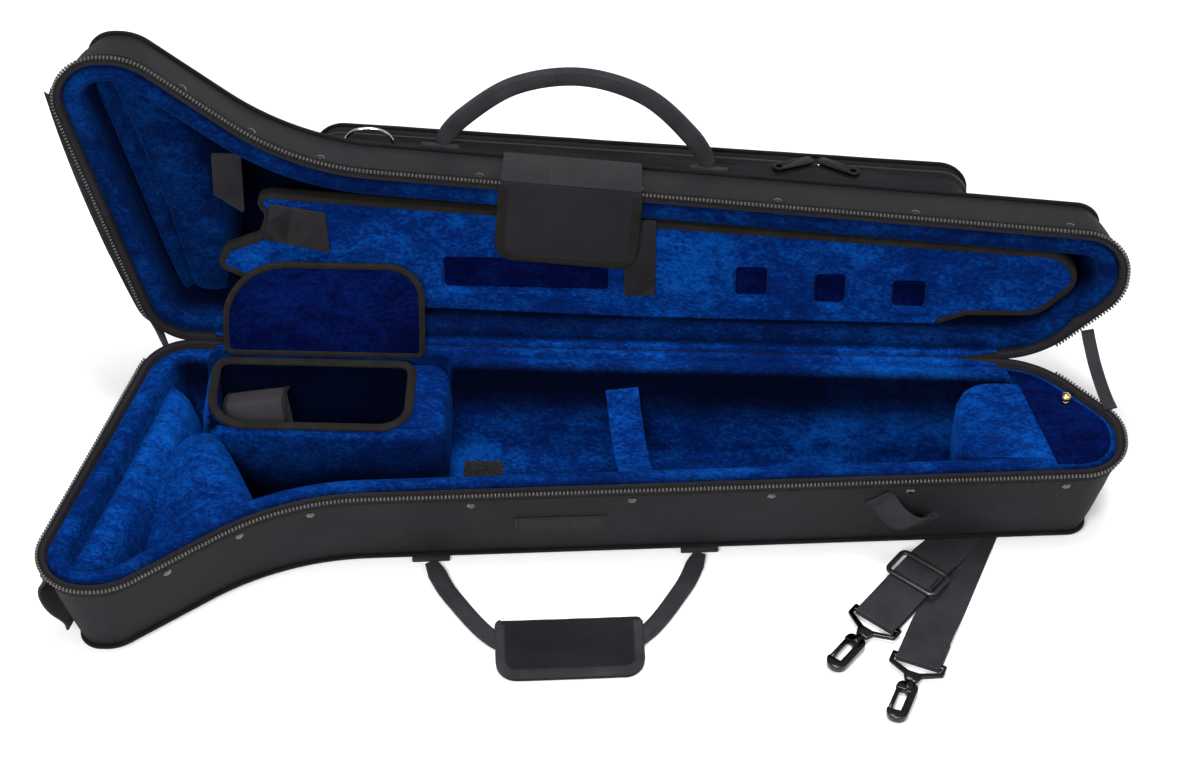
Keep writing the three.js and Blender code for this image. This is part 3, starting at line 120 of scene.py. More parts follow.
def calc(tree, operation, *values):
    return addNode(tree, "Math", dict(enumerate(values)), operation=operation).outputs[0]


def eitherOf(tree, switch, first, second):
    return addNode(tree, "Mix", {0: switch, 2: first, 3: second}, data_type="FLOAT").outputs[0]


def rampOf(tree, factor, *stops):
    ramp = addNode(tree, "ValToRGB", {"Fac": factor})
    elements = ramp.color_ramp.elements
    while len(elements) < len(stops):
        elements.new(0.5)
    for element, (position, color) in zip(elements, stops):
        element.position = position
        element.color = (*color, 1)
    return ramp.outputs["Color"]


def mixColors(tree, factor, first, second, blend="MIX"):
    node = addNode(tree, "Mix", {0: factor}, data_type="RGBA", blend_type=blend)
    tree.links.new(first, node.inputs[6])
    tree.links.new(second, node.inputs[7])
    return node.outputs[2]


def mottled(tree, color, factor, low, high):
    # a colour made darker and lighter by a factor; low and high are (place on the ramp, brightness)
    shade = rampOf(tree, factor, *[(position, (brightness,) * 3) for position, brightness in (low, high)])
    return mixColors(tree, 1.0, color, shade, "MULTIPLY")


def bumpOf(tree, height, distance, strength, under=None):
    inputs = {"Height": height, "Distance": distance, "Strength": strength}
    if under is not None:
        inputs["Normal"] = under
    return addNode(tree, "Bump", inputs).outputs["Normal"]


def dimmed(color, share):
    return tuple(min(1, channel * share) for channel in color)


def wovenHeight(tree, pitch, turn=0.0):
    # plain weave: over and under threads of a pitch, along the piece's own cloth map
    mapped = addNode(tree, "Mapping", {
        "Vector": clothCoordinates(tree), "Scale": (pi / pitch,) * 3, "Rotation": (0, 0, turn),
    }).outputs["Vector"]
    axes = addNode(tree, "SeparateXYZ", {"Vector": mapped}).outputs
    across, along = calc(tree, "SINE", axes["X"]), calc(tree, "SINE", axes["Y"])
    crossing = calc(tree, "GREATER_THAN", calc(tree, "MULTIPLY", across, along), 0.0)
    return eitherOf(tree, crossing, calc(tree, "ABSOLUTE", across), calc(tree, "ABSOLUTE", along))


nylonLook = {"dark": (0.0028, 0.0025, 0.0033), "light": (0.0190, 0.0172, 0.0217), "pitch": 0.0011}
pouchLook = {"dark": (0.007, 0.0065, 0.008), "light": (0.042, 0.039, 0.046), "pitch": 0.0009}


def nylonMaterial(name, look):
    material, tree, shader = newMaterial(name, Roughness=0.62, Sheen_Weight=0.02, Specular_IOR_Level=0.04)
    weave = wovenHeight(tree, look["pitch"])
    place = objectCoordinates(tree)
    cloud, dust = noiseOf(tree, place, 9, 4), noiseOf(tree, place, 420, 2)
    threads = rampOf(tree, weave, (0.1, look["dark"]), (0.95, look["light"]))
    plugIn(tree, shader,
           Base_Color=mottled(tree, threads, cloud, (0.3, 0.72), (0.72, 1.2)),
           Roughness=calc(tree, "MULTIPLY_ADD", dust, 0.24, 0.46),
           Normal=bumpOf(tree, weave, 0.00035, 0.9, bumpOf(tree, cloud, 0.0018, 0.5)))
    return material


plushLook = {"deep": (0.0002, 0.0022, 0.026), "mid": (0.0005, 0.0135, 0.100), "bright": (0.0015, 0.062, 0.31),
             "sheen": 0.12, "tint": (0.02, 0.2, 0.9)}
# darker copies of the blue plush, as painted shade on the end lid, the panel's recesses and the accessory lid
shadedPlushLook = {"deep": (0.0001, 0.0005, 0.008), "mid": (0.0002, 0.0016, 0.024), "bright": (0.0006, 0.007, 0.07),
            "sheen": 0.08, "tint": (0.02, 0.14, 0.8)}
shadedInnerLook = {"deep": (0.0001, 0.0005, 0.008), "mid": (0.0002, 0.0016, 0.025), "bright": (0.0006, 0.008, 0.075),
             "sheen": 0.08, "tint": (0.02, 0.16, 0.8)}
napShare = {"brushed": 0.34, "patches": 0.34, "strokes": 0.32}


def plushMaterial(name, look):
    # the nap colours come plain and darkened; a per-point attribute of painted shade, from 0 to 1, blends them towards
    # the darkened copy
    material, tree, shader = newMaterial(
        name, Roughness=0.85, Sheen_Weight=look["sheen"], Sheen_Roughness=0.38, Sheen_Tint=(*look["tint"], 1),
        Specular_IOR_Level=0.02,
    )
    place = objectCoordinates(tree)
    stretched = objectCoordinates(tree, (1, 1.9, 1.5), (0.3, 0.2, 0.5))
    brushed = noiseOf(tree, stretched, 42, 7, 0.7, 0.3)
    patches = noiseOf(tree, place, 7.5, 3, 0.5, 0.2)
    pile = noiseOf(tree, place, 900, 2, 0.7)
    strokes = noiseOf(tree, stretched, 210, 4, 0.65)
    base = calc(tree, "MULTIPLY_ADD", patches, napShare["patches"],
                calc(tree, "MULTIPLY", strokes, napShare["strokes"]))
    nap = calc(tree, "MULTIPLY_ADD", brushed, napShare["brushed"], base)
    unshadedNap = rampOf(tree, nap, (0.33, look["deep"]), (0.48, look["mid"]), (0.63, look["bright"]))
    # painted shade: the same nap colours, darkened
    paintedShade = rampOf(tree, nap, (0.36, dimmed(look["deep"], 0.2)), (0.54, dimmed(look["mid"], 0.08)),
                     (0.75, dimmed(look["mid"], 0.4)))
    # how strongly shade is painted on at each point, from 0 to 1
    flat = addNode(tree, "Attribute", attribute_name="paintedShade").outputs["Fac"]
    plugIn(tree, shader,
           Base_Color=mottled(tree, mixColors(tree, flat, unshadedNap, paintedShade), pile, (0.25, 0.55), (0.75, 1.4)),
           Normal=bumpOf(tree, pile, 0.0009, 0.75, bumpOf(tree, nap, 0.003, 0.4)))
    return material


webbingLook = {"dark": (0.0045, 0.0042, 0.0052), "light": (0.045, 0.042, 0.049), "rib": 0.0016}


def webbingMaterial(name, look):
    material, tree, shader = newMaterial(name, Roughness=0.6, Sheen_Weight=0.02, Specular_IOR_Level=0.06)
    ribs = addNode(tree, "TexWave", {
        "Vector": clothCoordinates(tree), "Scale": 2 * pi / (20 * look["rib"]), "Distortion": 0.4, "Detail": 1.0,
    }, bands_direction="Y").outputs["Fac"]
    twill = wovenHeight(tree, look["rib"] * 0.7, radians(45))
    height = calc(tree, "MULTIPLY_ADD", ribs, 0.6, calc(tree, "MULTIPLY", twill, 0.5))
    cloud = noiseOf(tree, objectCoordinates(tree), 40, 3)
    color = rampOf(tree, height, (0.15, look["dark"]), (0.9, look["light"]))
    plugIn(tree, shader, Base_Color=mottled(tree, color, cloud, (0.3, 0.7), (0.8, 1.25)),
           Normal=bumpOf(tree, height, 0.0005, 0.9))
    return material


def tapeMaterial(name, dark, light, pitch, roughness):
    material, tree, shader = newMaterial(name, Roughness=roughness, Sheen_Weight=0.02, Specular_IOR_Level=0.06)
    weave = wovenHeight(tree, pitch, radians(45))
    cloud = noiseOf(tree, objectCoordinates(tree), 55, 3)
    color = rampOf(tree, weave, (0.1, dark), (0.95, light))
    plugIn(tree, shader, Base_Color=mottled(tree, color, cloud, (0.3, 0.7), (0.75, 1.3)),
           Normal=bumpOf(tree, weave, 0.0003, 0.8))
    return material


def metalMaterial(name, color, roughness, wear, metallic=1.0):
    material, tree, shader = newMaterial(name, Roughness=roughness, Metallic=metallic)
    smear = noiseOf(tree, objectCoordinates(tree), 160, 4, 0.6)
    scratches = noiseOf(tree, objectCoordinates(tree, (1, 14, 1), (0.4, 0.7, 0.3)), 220, 3, 0.7)
    plugIn(tree, shader,
           Base_Color=rampOf(tree, smear, (0.3, dimmed(color, 0.78)), (0.7, dimmed(color, 1.12))),
           Roughness=calc(tree, "MULTIPLY_ADD", scratches, wear * 2, max(0.02, roughness - wear)),
           Normal=bumpOf(tree, scratches, 0.00004, 0.5))
    return material


def loopMaterial(name):
    material, tree, shader = newMaterial(name, Roughness=0.95, Sheen_Weight=0.05, Specular_IOR_Level=0.1)
    place = objectCoordinates(tree)
    cells = addNode(tree, "TexVoronoi", {"Vector": place, "Scale": 900.0}).outputs["Distance"]
    fuzz = noiseOf(tree, place, 1500, 3, 0.7)
    color = rampOf(tree, cells, (0.05, (0.034, 0.034, 0.036)), (0.6, (0.004, 0.004, 0.0045)))
    plugIn(tree, shader, Base_Color=mottled(tree, color, fuzz, (0.3, 0.6), (0.7, 1.4)),
           Normal=bumpOf(tree, cells, 0.0009, 0.9))
    return material


nylon = nylonMaterial("ballisticNylon", nylonLook)
pouchNylon = nylonMaterial("pouchNylon", pouchLook)
plush = plushMaterial("bluePlush", plushLook)
# the same plush darkened, as painted shade
shadedPlush = plushMaterial("paintedShadePlush", shadedPlushLook)
paintedShadeInnerPlush = plushMaterial("paintedShadeInnerPlush", shadedInnerLook)
webbing = webbingMaterial("ribbedWebbing", webbingLook)
pipingTape = tapeMaterial("pipingTape", (0.0015, 0.0015, 0.0015), (0.010, 0.0095, 0.0095), 0.0007, 0.42)
bindingTape = tapeMaterial("bindingTape", (0.002, 0.0018, 0.0016), (0.016, 0.0145, 0.0125), 0.0008, 0.5)
zipTape = tapeMaterial("zipTape", (0.0015, 0.0015, 0.0015), (0.009, 0.009, 0.0095), 0.0006, 0.6)
thread = tapeMaterial("sewingThread", (0.006, 0.006, 0.0065), (0.03, 0.03, 0.032), 0.0004, 0.5)
zipMetal = metalMaterial("zipCoil", (0.075, 0.072, 0.07), 0.34, 0.1, 0.6)
gunMetal = metalMaterial("gunMetal", (0.035, 0.034, 0.036), 0.12, 0.06)
rivetMetal = metalMaterial("rivetMetal", (0.09, 0.09, 0.095), 0.10, 0.05)
darkPlastic = metalMaterial("darkPlastic", (0.012, 0.012, 0.013), 0.3, 0.1, 0.0)
chrome = metalMaterial("chrome", (0.55, 0.55, 0.56), 0.15, 0.08)
brass = metalMaterial("brass", (0.83, 0.6, 0.22), 0.16, 0.08)
loopPile = loopMaterial("loopPile")
print("materials made")


# modelling tools

def clearSelection():
    if bpy.context.object and bpy.context.object.mode != "OBJECT":
        bpy.ops.object.mode_set(mode="OBJECT")
    bpy.ops.object.select_all(action="DESELECT")


def focus(piece):
    clearSelection()
    piece.select_set(True)
    bpy.context.view_layer.objects.active = piece


def startShape(addPrimitive, name, **settings):
    # a primitive with its place and size put into its mesh
    clearSelection()
    addPrimitive(**settings)
    piece = bpy.context.object
    piece.name = piece.data.name = name
    bpy.ops.object.transform_apply(location=True, rotation=True, scale=True)
    return piece


def applyModifier(piece, kind, **settings):
    focus(piece)
    modifier = piece.modifiers.new("finish", kind)
    for key, value in settings.items():
        setattr(modifier, key, value)
    bpy.ops.object.modifier_apply(modifier=modifier.name)


def bevelEdges(piece, width, segments=3, angle=50):
    applyModifier(piece, "BEVEL", width=width, segments=segments, limit_method="ANGLE", angle_limit=radians(angle))


def boolean(piece, cutter, operation="DIFFERENCE"):
    applyModifier(piece, "BOOLEAN", object=cutter, operation=operation, solver="EXACT")
    bpy.data.objects.remove(cutter)


def axesMatrix(x, y, z, origin):
    # a frame whose axes point along x, y and z, at an origin
    return Matrix(((x[0], y[0], z[0], origin[0]), (x[1], y[1], z[1], origin[1]), (x[2], y[2], z[2], origin[2]),
                   (0, 0, 0, 1)))


def turnAbout(point, degrees, axis):
    return Matrix.Translation(point) @ Matrix.Rotation(radians(degrees), 4, axis) @ Matrix.Translation(-point)


def selectRow(piece, first, count):
    # the edges between a run of neighbouring points, given by their numbers
    mesh = bmesh.from_edit_mesh(piece.data)
    mesh.verts.ensure_lookup_table()
    row = set(mesh.verts[first:first + count])
    for edge in mesh.edges:
        if edge.verts[0] in row and edge.verts[1] in row:
            edge.select = True
    bmesh.update_edit_mesh(piece.data)


def growRows(piece, rows):
    # each further row is extruded from the last one and set on its own points
    count = len(rows[0])
    bpy.ops.object.mode_set(mode="EDIT")
    for row in rows:
        bpy.ops.mesh.select_all(action="DESELECT")
        placed = len(bmesh.from_edit_mesh(piece.data).verts)
        selectRow(piece, placed - count, count)
        bpy.ops.mesh.extrude_region_move()
        mesh = bmesh.from_edit_mesh(piece.data)
        mesh.verts.ensure_lookup_table()
        for vertex, point in zip(mesh.verts[placed:], row):
            vertex.co = point
        bmesh.update_edit_mesh(piece.data)
    bpy.ops.object.mode_set(mode="OBJECT")


def clothLayer(piece):
    return piece.data.uv_layers.get("cloth") or piece.data.uv_layers.new(name="cloth")


def plainMap(piece):
    # a cloth map laid on from the side, for shapes without rows
    layer = clothLayer(piece)
    for loop in piece.data.loops:
        point = piece.data.vertices[loop.vertex_index].co
        layer.data[loop.index].uv = (point.x, point.y + point.z)


def mapCloth(piece, rows, around):
    # a cloth map in metres: across the rows and along them
    count = len(rows[0])
    across = [[0.0] for row in rows]
    for steps, row in zip(across, rows):
        for i in range(count):
            steps.append(steps[-1] + (row[(i + 1) % count] - row[i]).length)
    along = [0.0]
    for before, after in zip(rows, rows[1:] + rows[:1]):
        along.append(along[-1] + sum((b - a).length for a, b in zip(before, after)) / count)
    longest = max(across, key=lambda steps: steps[-1])
    layer = clothLayer(piece)
    placed = len(rows) * count
    for face in piece.data.polygons:
        corners = [piece.data.loops[i].vertex_index for i in face.loop_indices]
        if max(corners) >= placed or len(corners) > 4:  # an end cap
            for i, corner in zip(face.loop_indices, corners):
                layer.data[i].uv = piece.data.vertices[corner].co.xy
            continue
        columns = [corner % count for corner in corners]
        lines = [corner // count for corner in corners]
        overSeam = around and max(columns) - min(columns) > 1
        overEnd = max(lines) - min(lines) > 1
        for i, column, line in zip(face.loop_indices, columns, lines):
            column = count if overSeam and column == 0 else column
            line = len(rows) if overEnd and line == 0 else line
            layer.data[i].uv = (longest[column], along[line])


def loft(name, rows, around=True, ends="caps"):
    # a skin over rows of points; ends: "caps" closes both ends, "ring" joins last to first, "open" leaves them
    rows = [[Vector(point) for point in row] for row in rows]
    count = len(rows[0])
    assert all(len(row) == count for row in rows), name
    if around:
        started = 1
        piece = startShape(bpy.ops.mesh.primitive_circle_add, name, vertices=count, radius=0.1)
    else:
        started = 2
        piece = startShape(bpy.ops.mesh.primitive_grid_add, name, x_subdivisions=count - 1, y_subdivisions=1, size=0.1)
    for vertex, point in zip(piece.data.vertices, [p for row in rows[:started] for p in row]):
        vertex.co = point
    for layer in list(piece.data.uv_layers):
        piece.data.uv_layers.remove(layer)
    if len(rows) > started:
        growRows(piece, rows[started:])
    lastRow = (len(rows) - 1) * count
    bpy.ops.object.mode_set(mode="EDIT")
    bpy.ops.mesh.select_mode(type="EDGE")
    if ends == "caps" and around:
        for first in (0, lastRow):
            bpy.ops.mesh.select_all(action="DESELECT")
            selectRow(piece, first, count)
            bpy.ops.mesh.fill(use_beauty=True)
    if ends == "ring":
        bpy.ops.mesh.select_all(action="DESELECT")
        selectRow(piece, 0, count)
        selectRow(piece, lastRow, count)
        bpy.ops.mesh.bridge_edge_loops()
    bpy.ops.mesh.select_all(action="SELECT")
    bpy.ops.mesh.normals_make_consistent(inside=False)
    bpy.ops.object.mode_set(mode="OBJECT")
    mapCloth(piece, rows, around)
    return piece


def turnedRows(rows):
    return [list(row) for row in zip(*rows)]


def dress(piece, material, angle):
    focus(piece)
    piece.data.materials.clear()
    piece.data.materials.append(material)
    bpy.ops.object.shade_smooth_by_angle(angle=radians(angle))


def standFor(piece, material, *nodes):
    if nodes:
        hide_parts(*nodes)


def finishPiece(piece, body, material, *nodes, angle=38, place=None):
    # set in its place, dressed, and riding on its body instead of its CAD nodes
    if place is not None:
        piece.data.transform(place)
        piece.data.update()
    dress(piece, material, angle)
    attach(piece, body)
    standFor(piece, material, *nodes)
    return piece


def thicken(piece, thickness, bevel=0.0, segments=2):
    applyModifier(piece, "SOLIDIFY", thickness=thickness, offset=0.0, use_even_offset=True)
    if bevel:
        bevelEdges(piece, bevel, segments)


def neighbours(points, i, closed=False):
    # the points before and after one on a path, or itself where the path ends
    before = points[i - 1] if closed or i else points[0]
    after = points[(i + 1) % len(points)] if closed or i < len(points) - 1 else points[-1]
    return before, after


def sweep(name, path, section, closed=False, up=Vector((0, 0, 1))):
    # a section of (across, up) points carried along a path; the across direction stays square to up
    points = [Vector(p) for p in path]
    rows = []
    for i, point in enumerate(points):
        before, after = neighbours(points, i, closed)
        ahead = (after - before).normalized()
        side = ahead.cross(up[i] if isinstance(up, list) else up).normalized()
        lift = side.cross(ahead).normalized()
        rows.append([point + side * a + lift * b for a, b in section])
    return loft(name, rows, True, "ring" if closed else "caps")


def oval(halfWidth, halfHeight, sides=12, power=1.0):
    # a flattened round section; a power below 1 makes it boxier
    points = []
    for k in range(sides):
        c, s = cos(2 * pi * k / sides), sin(2 * pi * k / sides)
        points.append((halfWidth * abs(c) ** power * (1 if c >= 0 else -1),
                       halfHeight * abs(s) ** power * (1 if s >= 0 else -1)))
    return points


def lengthOf(path):
    return sum((b - a).length for a, b in zip(path, path[1:]))


def smoothPath(points, count):
    # a rounded line through a few points, in even steps
    points = [Vector(p) for p in points]
    size, fine = len(points), 24
    dense = []
    for i in range(size - 1):
        a = points[i - 1] if i else points[0] * 2 - points[1]
        b, c = points[i], points[i + 1]
        d = points[i + 2] if i + 2 < size else points[-1] * 2 - points[-2]
        for k in range(fine):
            t = k / fine
            dense.append(0.5 * (2 * b + (c - a) * t + (2 * a - 5 * b + 4 * c - d) * t * t
                                + (3 * b - a - 3 * c + d) * t ** 3))
    dense.append(points[-1])
    lengths = [0.0]
    for a, b in zip(dense, dense[1:]):
        lengths.append(lengths[-1] + (b - a).length)
    even, k = [], 0
    for i in range(count):
        target = lengths[-1] * i / (count - 1)
        while k < len(dense) - 2 and lengths[k + 1] < target:
            k += 1
        share = (target - lengths[k]) / max(lengths[k + 1] - lengths[k], 1e-9)
        even.append(dense[k].lerp(dense[k + 1], min(share, 1.0)))
    return even


def roundedPath(points, radius, steps=5):
    # a path of straight runs whose corners are eased
    points = [Vector(p) for p in points]
    path = [points[0]]
    for before, corner, after in zip(points, points[1:], points[2:]):
        a = min(radius, (corner - before).length * 0.49)
        b = min(radius, (after - corner).length * 0.49)
        start, end = corner + (before - corner).normalized() * a, corner + (after - corner).normalized() * b
        for k in range(steps + 1):
            t = k / steps
            path.append(start * (1 - t) ** 2 + corner * 2 * t * (1 - t) + end * t * t)
    path.append(points[-1])
    return path


def repeat(name, seed, places):
    # copies of a small shape at many places, as one piece
    shape = [vertex.co.copy() for vertex in seed.data.vertices]
    faces = [list(face.vertices) for face in seed.data.polygons]
    points, skins = [], []
    for matrix in places:
        first = len(points)
        points.extend(matrix @ point for point in shape)
        skins.extend([first + i for i in face] for face in faces)
    mesh = bpy.data.meshes.new(name)
    mesh.from_pydata(points, [], skins)
    mesh.update()
    layer = mesh.uv_layers.new(name="cloth")
    for loop in mesh.loops:
        layer.data[loop.index].uv = mesh.vertices[loop.vertex_index].co.xz
    piece = bpy.data.objects.new(name, mesh)
    bpy.context.scene.collection.objects.link(piece)
    bpy.data.objects.remove(seed)
    return piece


def frameAt(point, along, out):
    along = along.normalized()
    side = out.cross(along).normalized()
    return axesMatrix(along, side, along.cross(side), point)


stitchShape = {"spacing": 0.0032, "long": 0.0022, "thick": 0.0005, "proud": 0.3, "sides": 5}
rimStitch = {"spacing": 0.0036, "long": 0.0025}


def stitches(name, path, outs, body, spacing=stitchShape["spacing"], long=stitchShape["long"], place=None):
    # a row of raised stitches along a path; outs is one outward direction or one for each point
    seed = startShape(bpy.ops.mesh.primitive_cylinder_add, "stitch", vertices=stitchShape["sides"],
                      radius=stitchShape["thick"] / 2, depth=long, rotation=(0, pi / 2, 0))
    even = smoothPath(path, max(3, int(lengthOf(path) / spacing)))
    places = []
    for i, point in enumerate(even):
        before, after = neighbours(even, i)
        share = i / (len(even) - 1)
        out = outs if isinstance(outs, Vector) else outs[min(int(share * len(outs)), len(outs) - 1)]
        places.append(frameAt(point + out * stitchShape["thick"] * stitchShape["proud"], after - before, out))
    return finishPiece(repeat(name, seed, places), body, thread, place=place)


def zipTeeth(name, points, pitch, size, body, place=None, bevel=0.0):
    # a row of small blocks along a zipper
    tooth = startShape(bpy.ops.mesh.primitive_cube_add, "tooth", size=1, scale=size)
    if bevel:
        bpy.ops.object.mode_set(mode="EDIT")
        bpy.ops.mesh.select_all(action="SELECT")
        bpy.ops.mesh.bevel(offset=bevel, segments=1)
        bpy.ops.object.mode_set(mode="OBJECT")
    even = smoothPath(points, int(lengthOf(points) / pitch))
    places = []
    for i, point in enumerate(even):
        before, after = neighbours(even, i)
        along = (after - before).normalized()
        places.append(frameAt(point, along, along.cross(Vector((0, 0, 1))).normalized()))
    return finishPiece(repeat(name, tooth, places), body, zipMetal, place=place, angle=60)


def cadCopy(name, node, body, material, bevel=0.0, segments=3, angle=32, fuller=0.0):
    # a rigid node's own shape, merged, with its edges rounded
    focus(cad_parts[node])
    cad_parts[node].hide_set(False)
    bpy.ops.object.duplicate(linked=False)
    piece = bpy.context.object
    for key in list(piece.keys()):
        del piece[key]
    piece.parent = None
    piece.matrix_world = Matrix()
    piece.name = piece.data.name = name
    bpy.ops.object.mode_set(mode="EDIT")
    bpy.ops.mesh.select_all(action="SELECT")
    bpy.ops.mesh.remove_doubles(threshold=0.00002)
    bpy.ops.mesh.dissolve_limited(angle_limit=radians(2))
    bpy.ops.object.mode_set(mode="OBJECT")
    if bevel:
        bevelEdges(piece, bevel, segments, angle)
    if fuller:
        applyModifier(piece, "DISPLACE", strength=fuller, mid_level=0.0)
    plainMap(piece)
    return finishPiece(piece, body, material, node)


def paintShade(piece, paintedShadeAt):
    # painted shade at each point of a plush piece, from 0 to 1, kept as an attribute that darkens its colour where
    # shade would fall
    values = [max(0.0, min(1.0, paintedShadeAt(vertex.co, vertex.normal))) for vertex in piece.data.vertices]
    layer = piece.data.attributes.new("paintedShade", "FLOAT", "POINT")
    layer.data.foreach_set("value", values)


# the case's plan and its two halves
plan = {
    "length": 0.950, "bellEnd": 0.291, "waist": 0.186, "tip": 0.131, "bellFront": 0.080, "flare": 0.136,
    "slant": 0.084, "chamfer": (0.073, 0.070), "hingeSide": 0.095, "step": 0.011, "sharpest": 0.0015,
}
leftEnd, rightEnd, hingeSide = -plan["length"] / 2, plan["length"] / 2, plan["hingeSide"]
rimCorners = [
    (leftEnd + plan["slant"], hingeSide, 0.046, 14),
    (leftEnd, hingeSide - plan["bellEnd"], 0.042, 14),
    (leftEnd + plan["bellFront"], hingeSide - plan["bellEnd"], 0.058, 10),
    (leftEnd + plan["bellFront"] + plan["flare"], hingeSide - plan["waist"], 0.230, 14),
    (rightEnd, hingeSide - plan["tip"], 0.040, 12),
    (rightEnd, hingeSide - plan["chamfer"][1], 0.045, 7),
    (rightEnd - plan["chamfer"][0], hingeSide, 0.090, 12),
]


def outlineSamples(corners, inset=0.0, step=0.008):
    # a polygon with rounded corners (x, y, radius, steps), drawn in by an inset, as
    # (point, outward direction, corner, share of it); a step of 1 or more is a count for each side
    count = len(corners)
    places = [Vector(corner[:2]) for corner in corners]
    edges = []
    for i, place in enumerate(places):
        ahead = (places[(i + 1) % count] - place).normalized()
        out = Vector((ahead.y, -ahead.x))
        edges.append((ahead, out, out.dot(place)))
    arcs = []
    for i, (x, y, radius, steps) in enumerate(corners):
        (before, outBefore, reachBefore), (after, outAfter, reachAfter) = edges[i - 1], edges[i]
        det = outBefore.x * outAfter.y - outBefore.y * outAfter.x
        a, b = reachBefore - inset, reachAfter - inset
        vertex = Vector(((a * outAfter.y - b * outBefore.y) / det, (outBefore.x * b - outAfter.x * a) / det))
        turn = asin(max(-1, min(1, before.x * after.y - before.y * after.x)))
        angle = pi - turn if before.dot(after) < 0 else turn
        side = 1 if angle > 0 else -1
        arcRadius = max(radius - inset, plan["sharpest"]) if side > 0 else radius + inset
        start = vertex - before * arcRadius * tan(abs(angle) / 2)
        centre = start - outBefore * side * arcRadius
        arc = []
        for k in range(steps + 1):
            turned = angle * k / steps
            out = Vector((outBefore.x * cos(turned) - outBefore.y * sin(turned),
                          outBefore.x * sin(turned) + outBefore.y * cos(turned)))
            arc.append((centre + out * side * arcRadius, out, i, k / steps))
        arcs.append(arc)
    samples = []
    for i, arc in enumerate(arcs):
        samples.extend(arc)
        start, end = arc[-1], arcs[(i + 1) % count][0]
        pieces = step if step >= 1 else max(1, round((places[(i + 1) % count] - places[i]).length * 0.8 / step))
        for k in range(1, pieces):
            samples.append((start[0].lerp(end[0], k / pieces), start[1], i, 1 + k / pieces))
    return samples


def rimSamples(inset=0.0):
    return outlineSamples(rimCorners, inset, plan["step"])


def outlineRing(corners, z, inset=0.0, step=0.008, wobble=0.0):
    ring = []
    for point, out, *where in outlineSamples(corners, inset, step):
        place = Vector((*point, z))
        if wobble:
            place += Vector((*out, 0)) * noise.noise(place * 30) * wobble
        ring.append(place)
    return ring


def stackOf(corners, base, rows, step, wobble=0.0):
    # rings of one outline, for pairs of height over a base and inset
    return [outlineRing(corners, base + rise, inset, step, wobble) for rise, inset in rows]


def outlineRun(corners, z, inset, step, first, last):
    # the part of an outline from one corner to another, and its outward directions
    run = [sample for sample in outlineSamples(corners, inset, step) if first <= sample[2] + sample[3] <= last]
    return [Vector((*sample[0], z)) for sample in run], [Vector((*sample[1], 0)) for sample in run]


def rectangle(x0, x1, y0, y1, radius, steps=3):
    return [(x0, y1, radius, steps), (x0, y0, radius, steps), (x1, y0, radius, steps), (x1, y1, radius, steps)]


def board(name, corners, bottom, thick, bevel=0.0006, step=0.006):
    # a flat board with a rounded outline and softened edges
    piece = loft(name, stackOf(corners, bottom, ((0, 0), (thick, 0)), step))
    bevelEdges(piece, bevel)
    return piece


# a half's rise is counted from its outer face to its rim; the lid is modelled shut and turned open in its mesh
openTurn = turnAbout(Vector((0, hingeSide, 0.1204)), -101, "X")
baseHalf = {"tag": "base", "body": "case", "turn": None, "end": 0.0, "way": 1, "depth": 0.120, "draft": 0.028,
            "panel": 0.009, "pad": 0.011}
lidHalf = {"tag": "lid", "body": "lid", "turn": openTurn, "end": 0.2088, "way": -1, "depth": 0.088, "draft": 0.022,
           "panel": 0.005, "pad": 0.008}
shellShape = {"edge": 0.014, "wall": 0.004, "fit": 0.0004, "bulge": 0.0012, "pucker": 0.0007, "straight": 0.016,
              "rim": 0.0006}
liningShape = {"under": 0.012, "roll": 0.0095, "crown": 0.0085, "clear": 0.0008, "top": 0.014, "lean": 0.020,
               "slope": 0.82, "gain": 0.008, "belly": 0.002, "foot": 0.012, "cornerWide": 0.018, "cornerHigh": 0.016,
               "lumps": 0.0012, "footLumps": 0.0008}


def draftAt(half, rise):
    return half["draft"] * (1 - rise / half["depth"])


def heightOf(half, rise):
    return half["end"] + half["way"] * rise


def ringAt(half, rise, inset, wobble=0.0):
    ring = []
    for point, out, *where in rimSamples(inset):
        place = Vector((*point, heightOf(half, rise)))
        if wobble:
            push = noise.noise(place * 21) + 0.5 * noise.noise(place * 55)
            place += Vector((*out, 0)) * push * wobble
        ring.append(place)
    return ring


def shellOf(name, half):
    edge, wall, depth, rim = shellShape["edge"], shellShape["wall"], half["depth"], shellShape["rim"]
    rows = []
    for k in range(9):
        angle = k * pi / 16
        rise = edge * (1 - cos(angle))
        rows.append(ringAt(half, rise, draftAt(half, rise) + edge * (1 - sin(angle))))
    for k in range(1, 9):
        rise = edge + (depth - shellShape["straight"] - edge) * k / 8
        bulge = shellShape["bulge"] * sin(pi * k / 8)
        rows.append(ringAt(half, rise, draftAt(half, rise) - bulge, shellShape["pucker"] if k < 8 else 0))
    rows += [ringAt(half, depth - rim, draftAt(half, depth - rim)), ringAt(half, depth, rim), ringAt(half, depth, wall),
             ringAt(half, half["panel"], draftAt(half, half["panel"]) + wall)]
    return loft(name, rows)


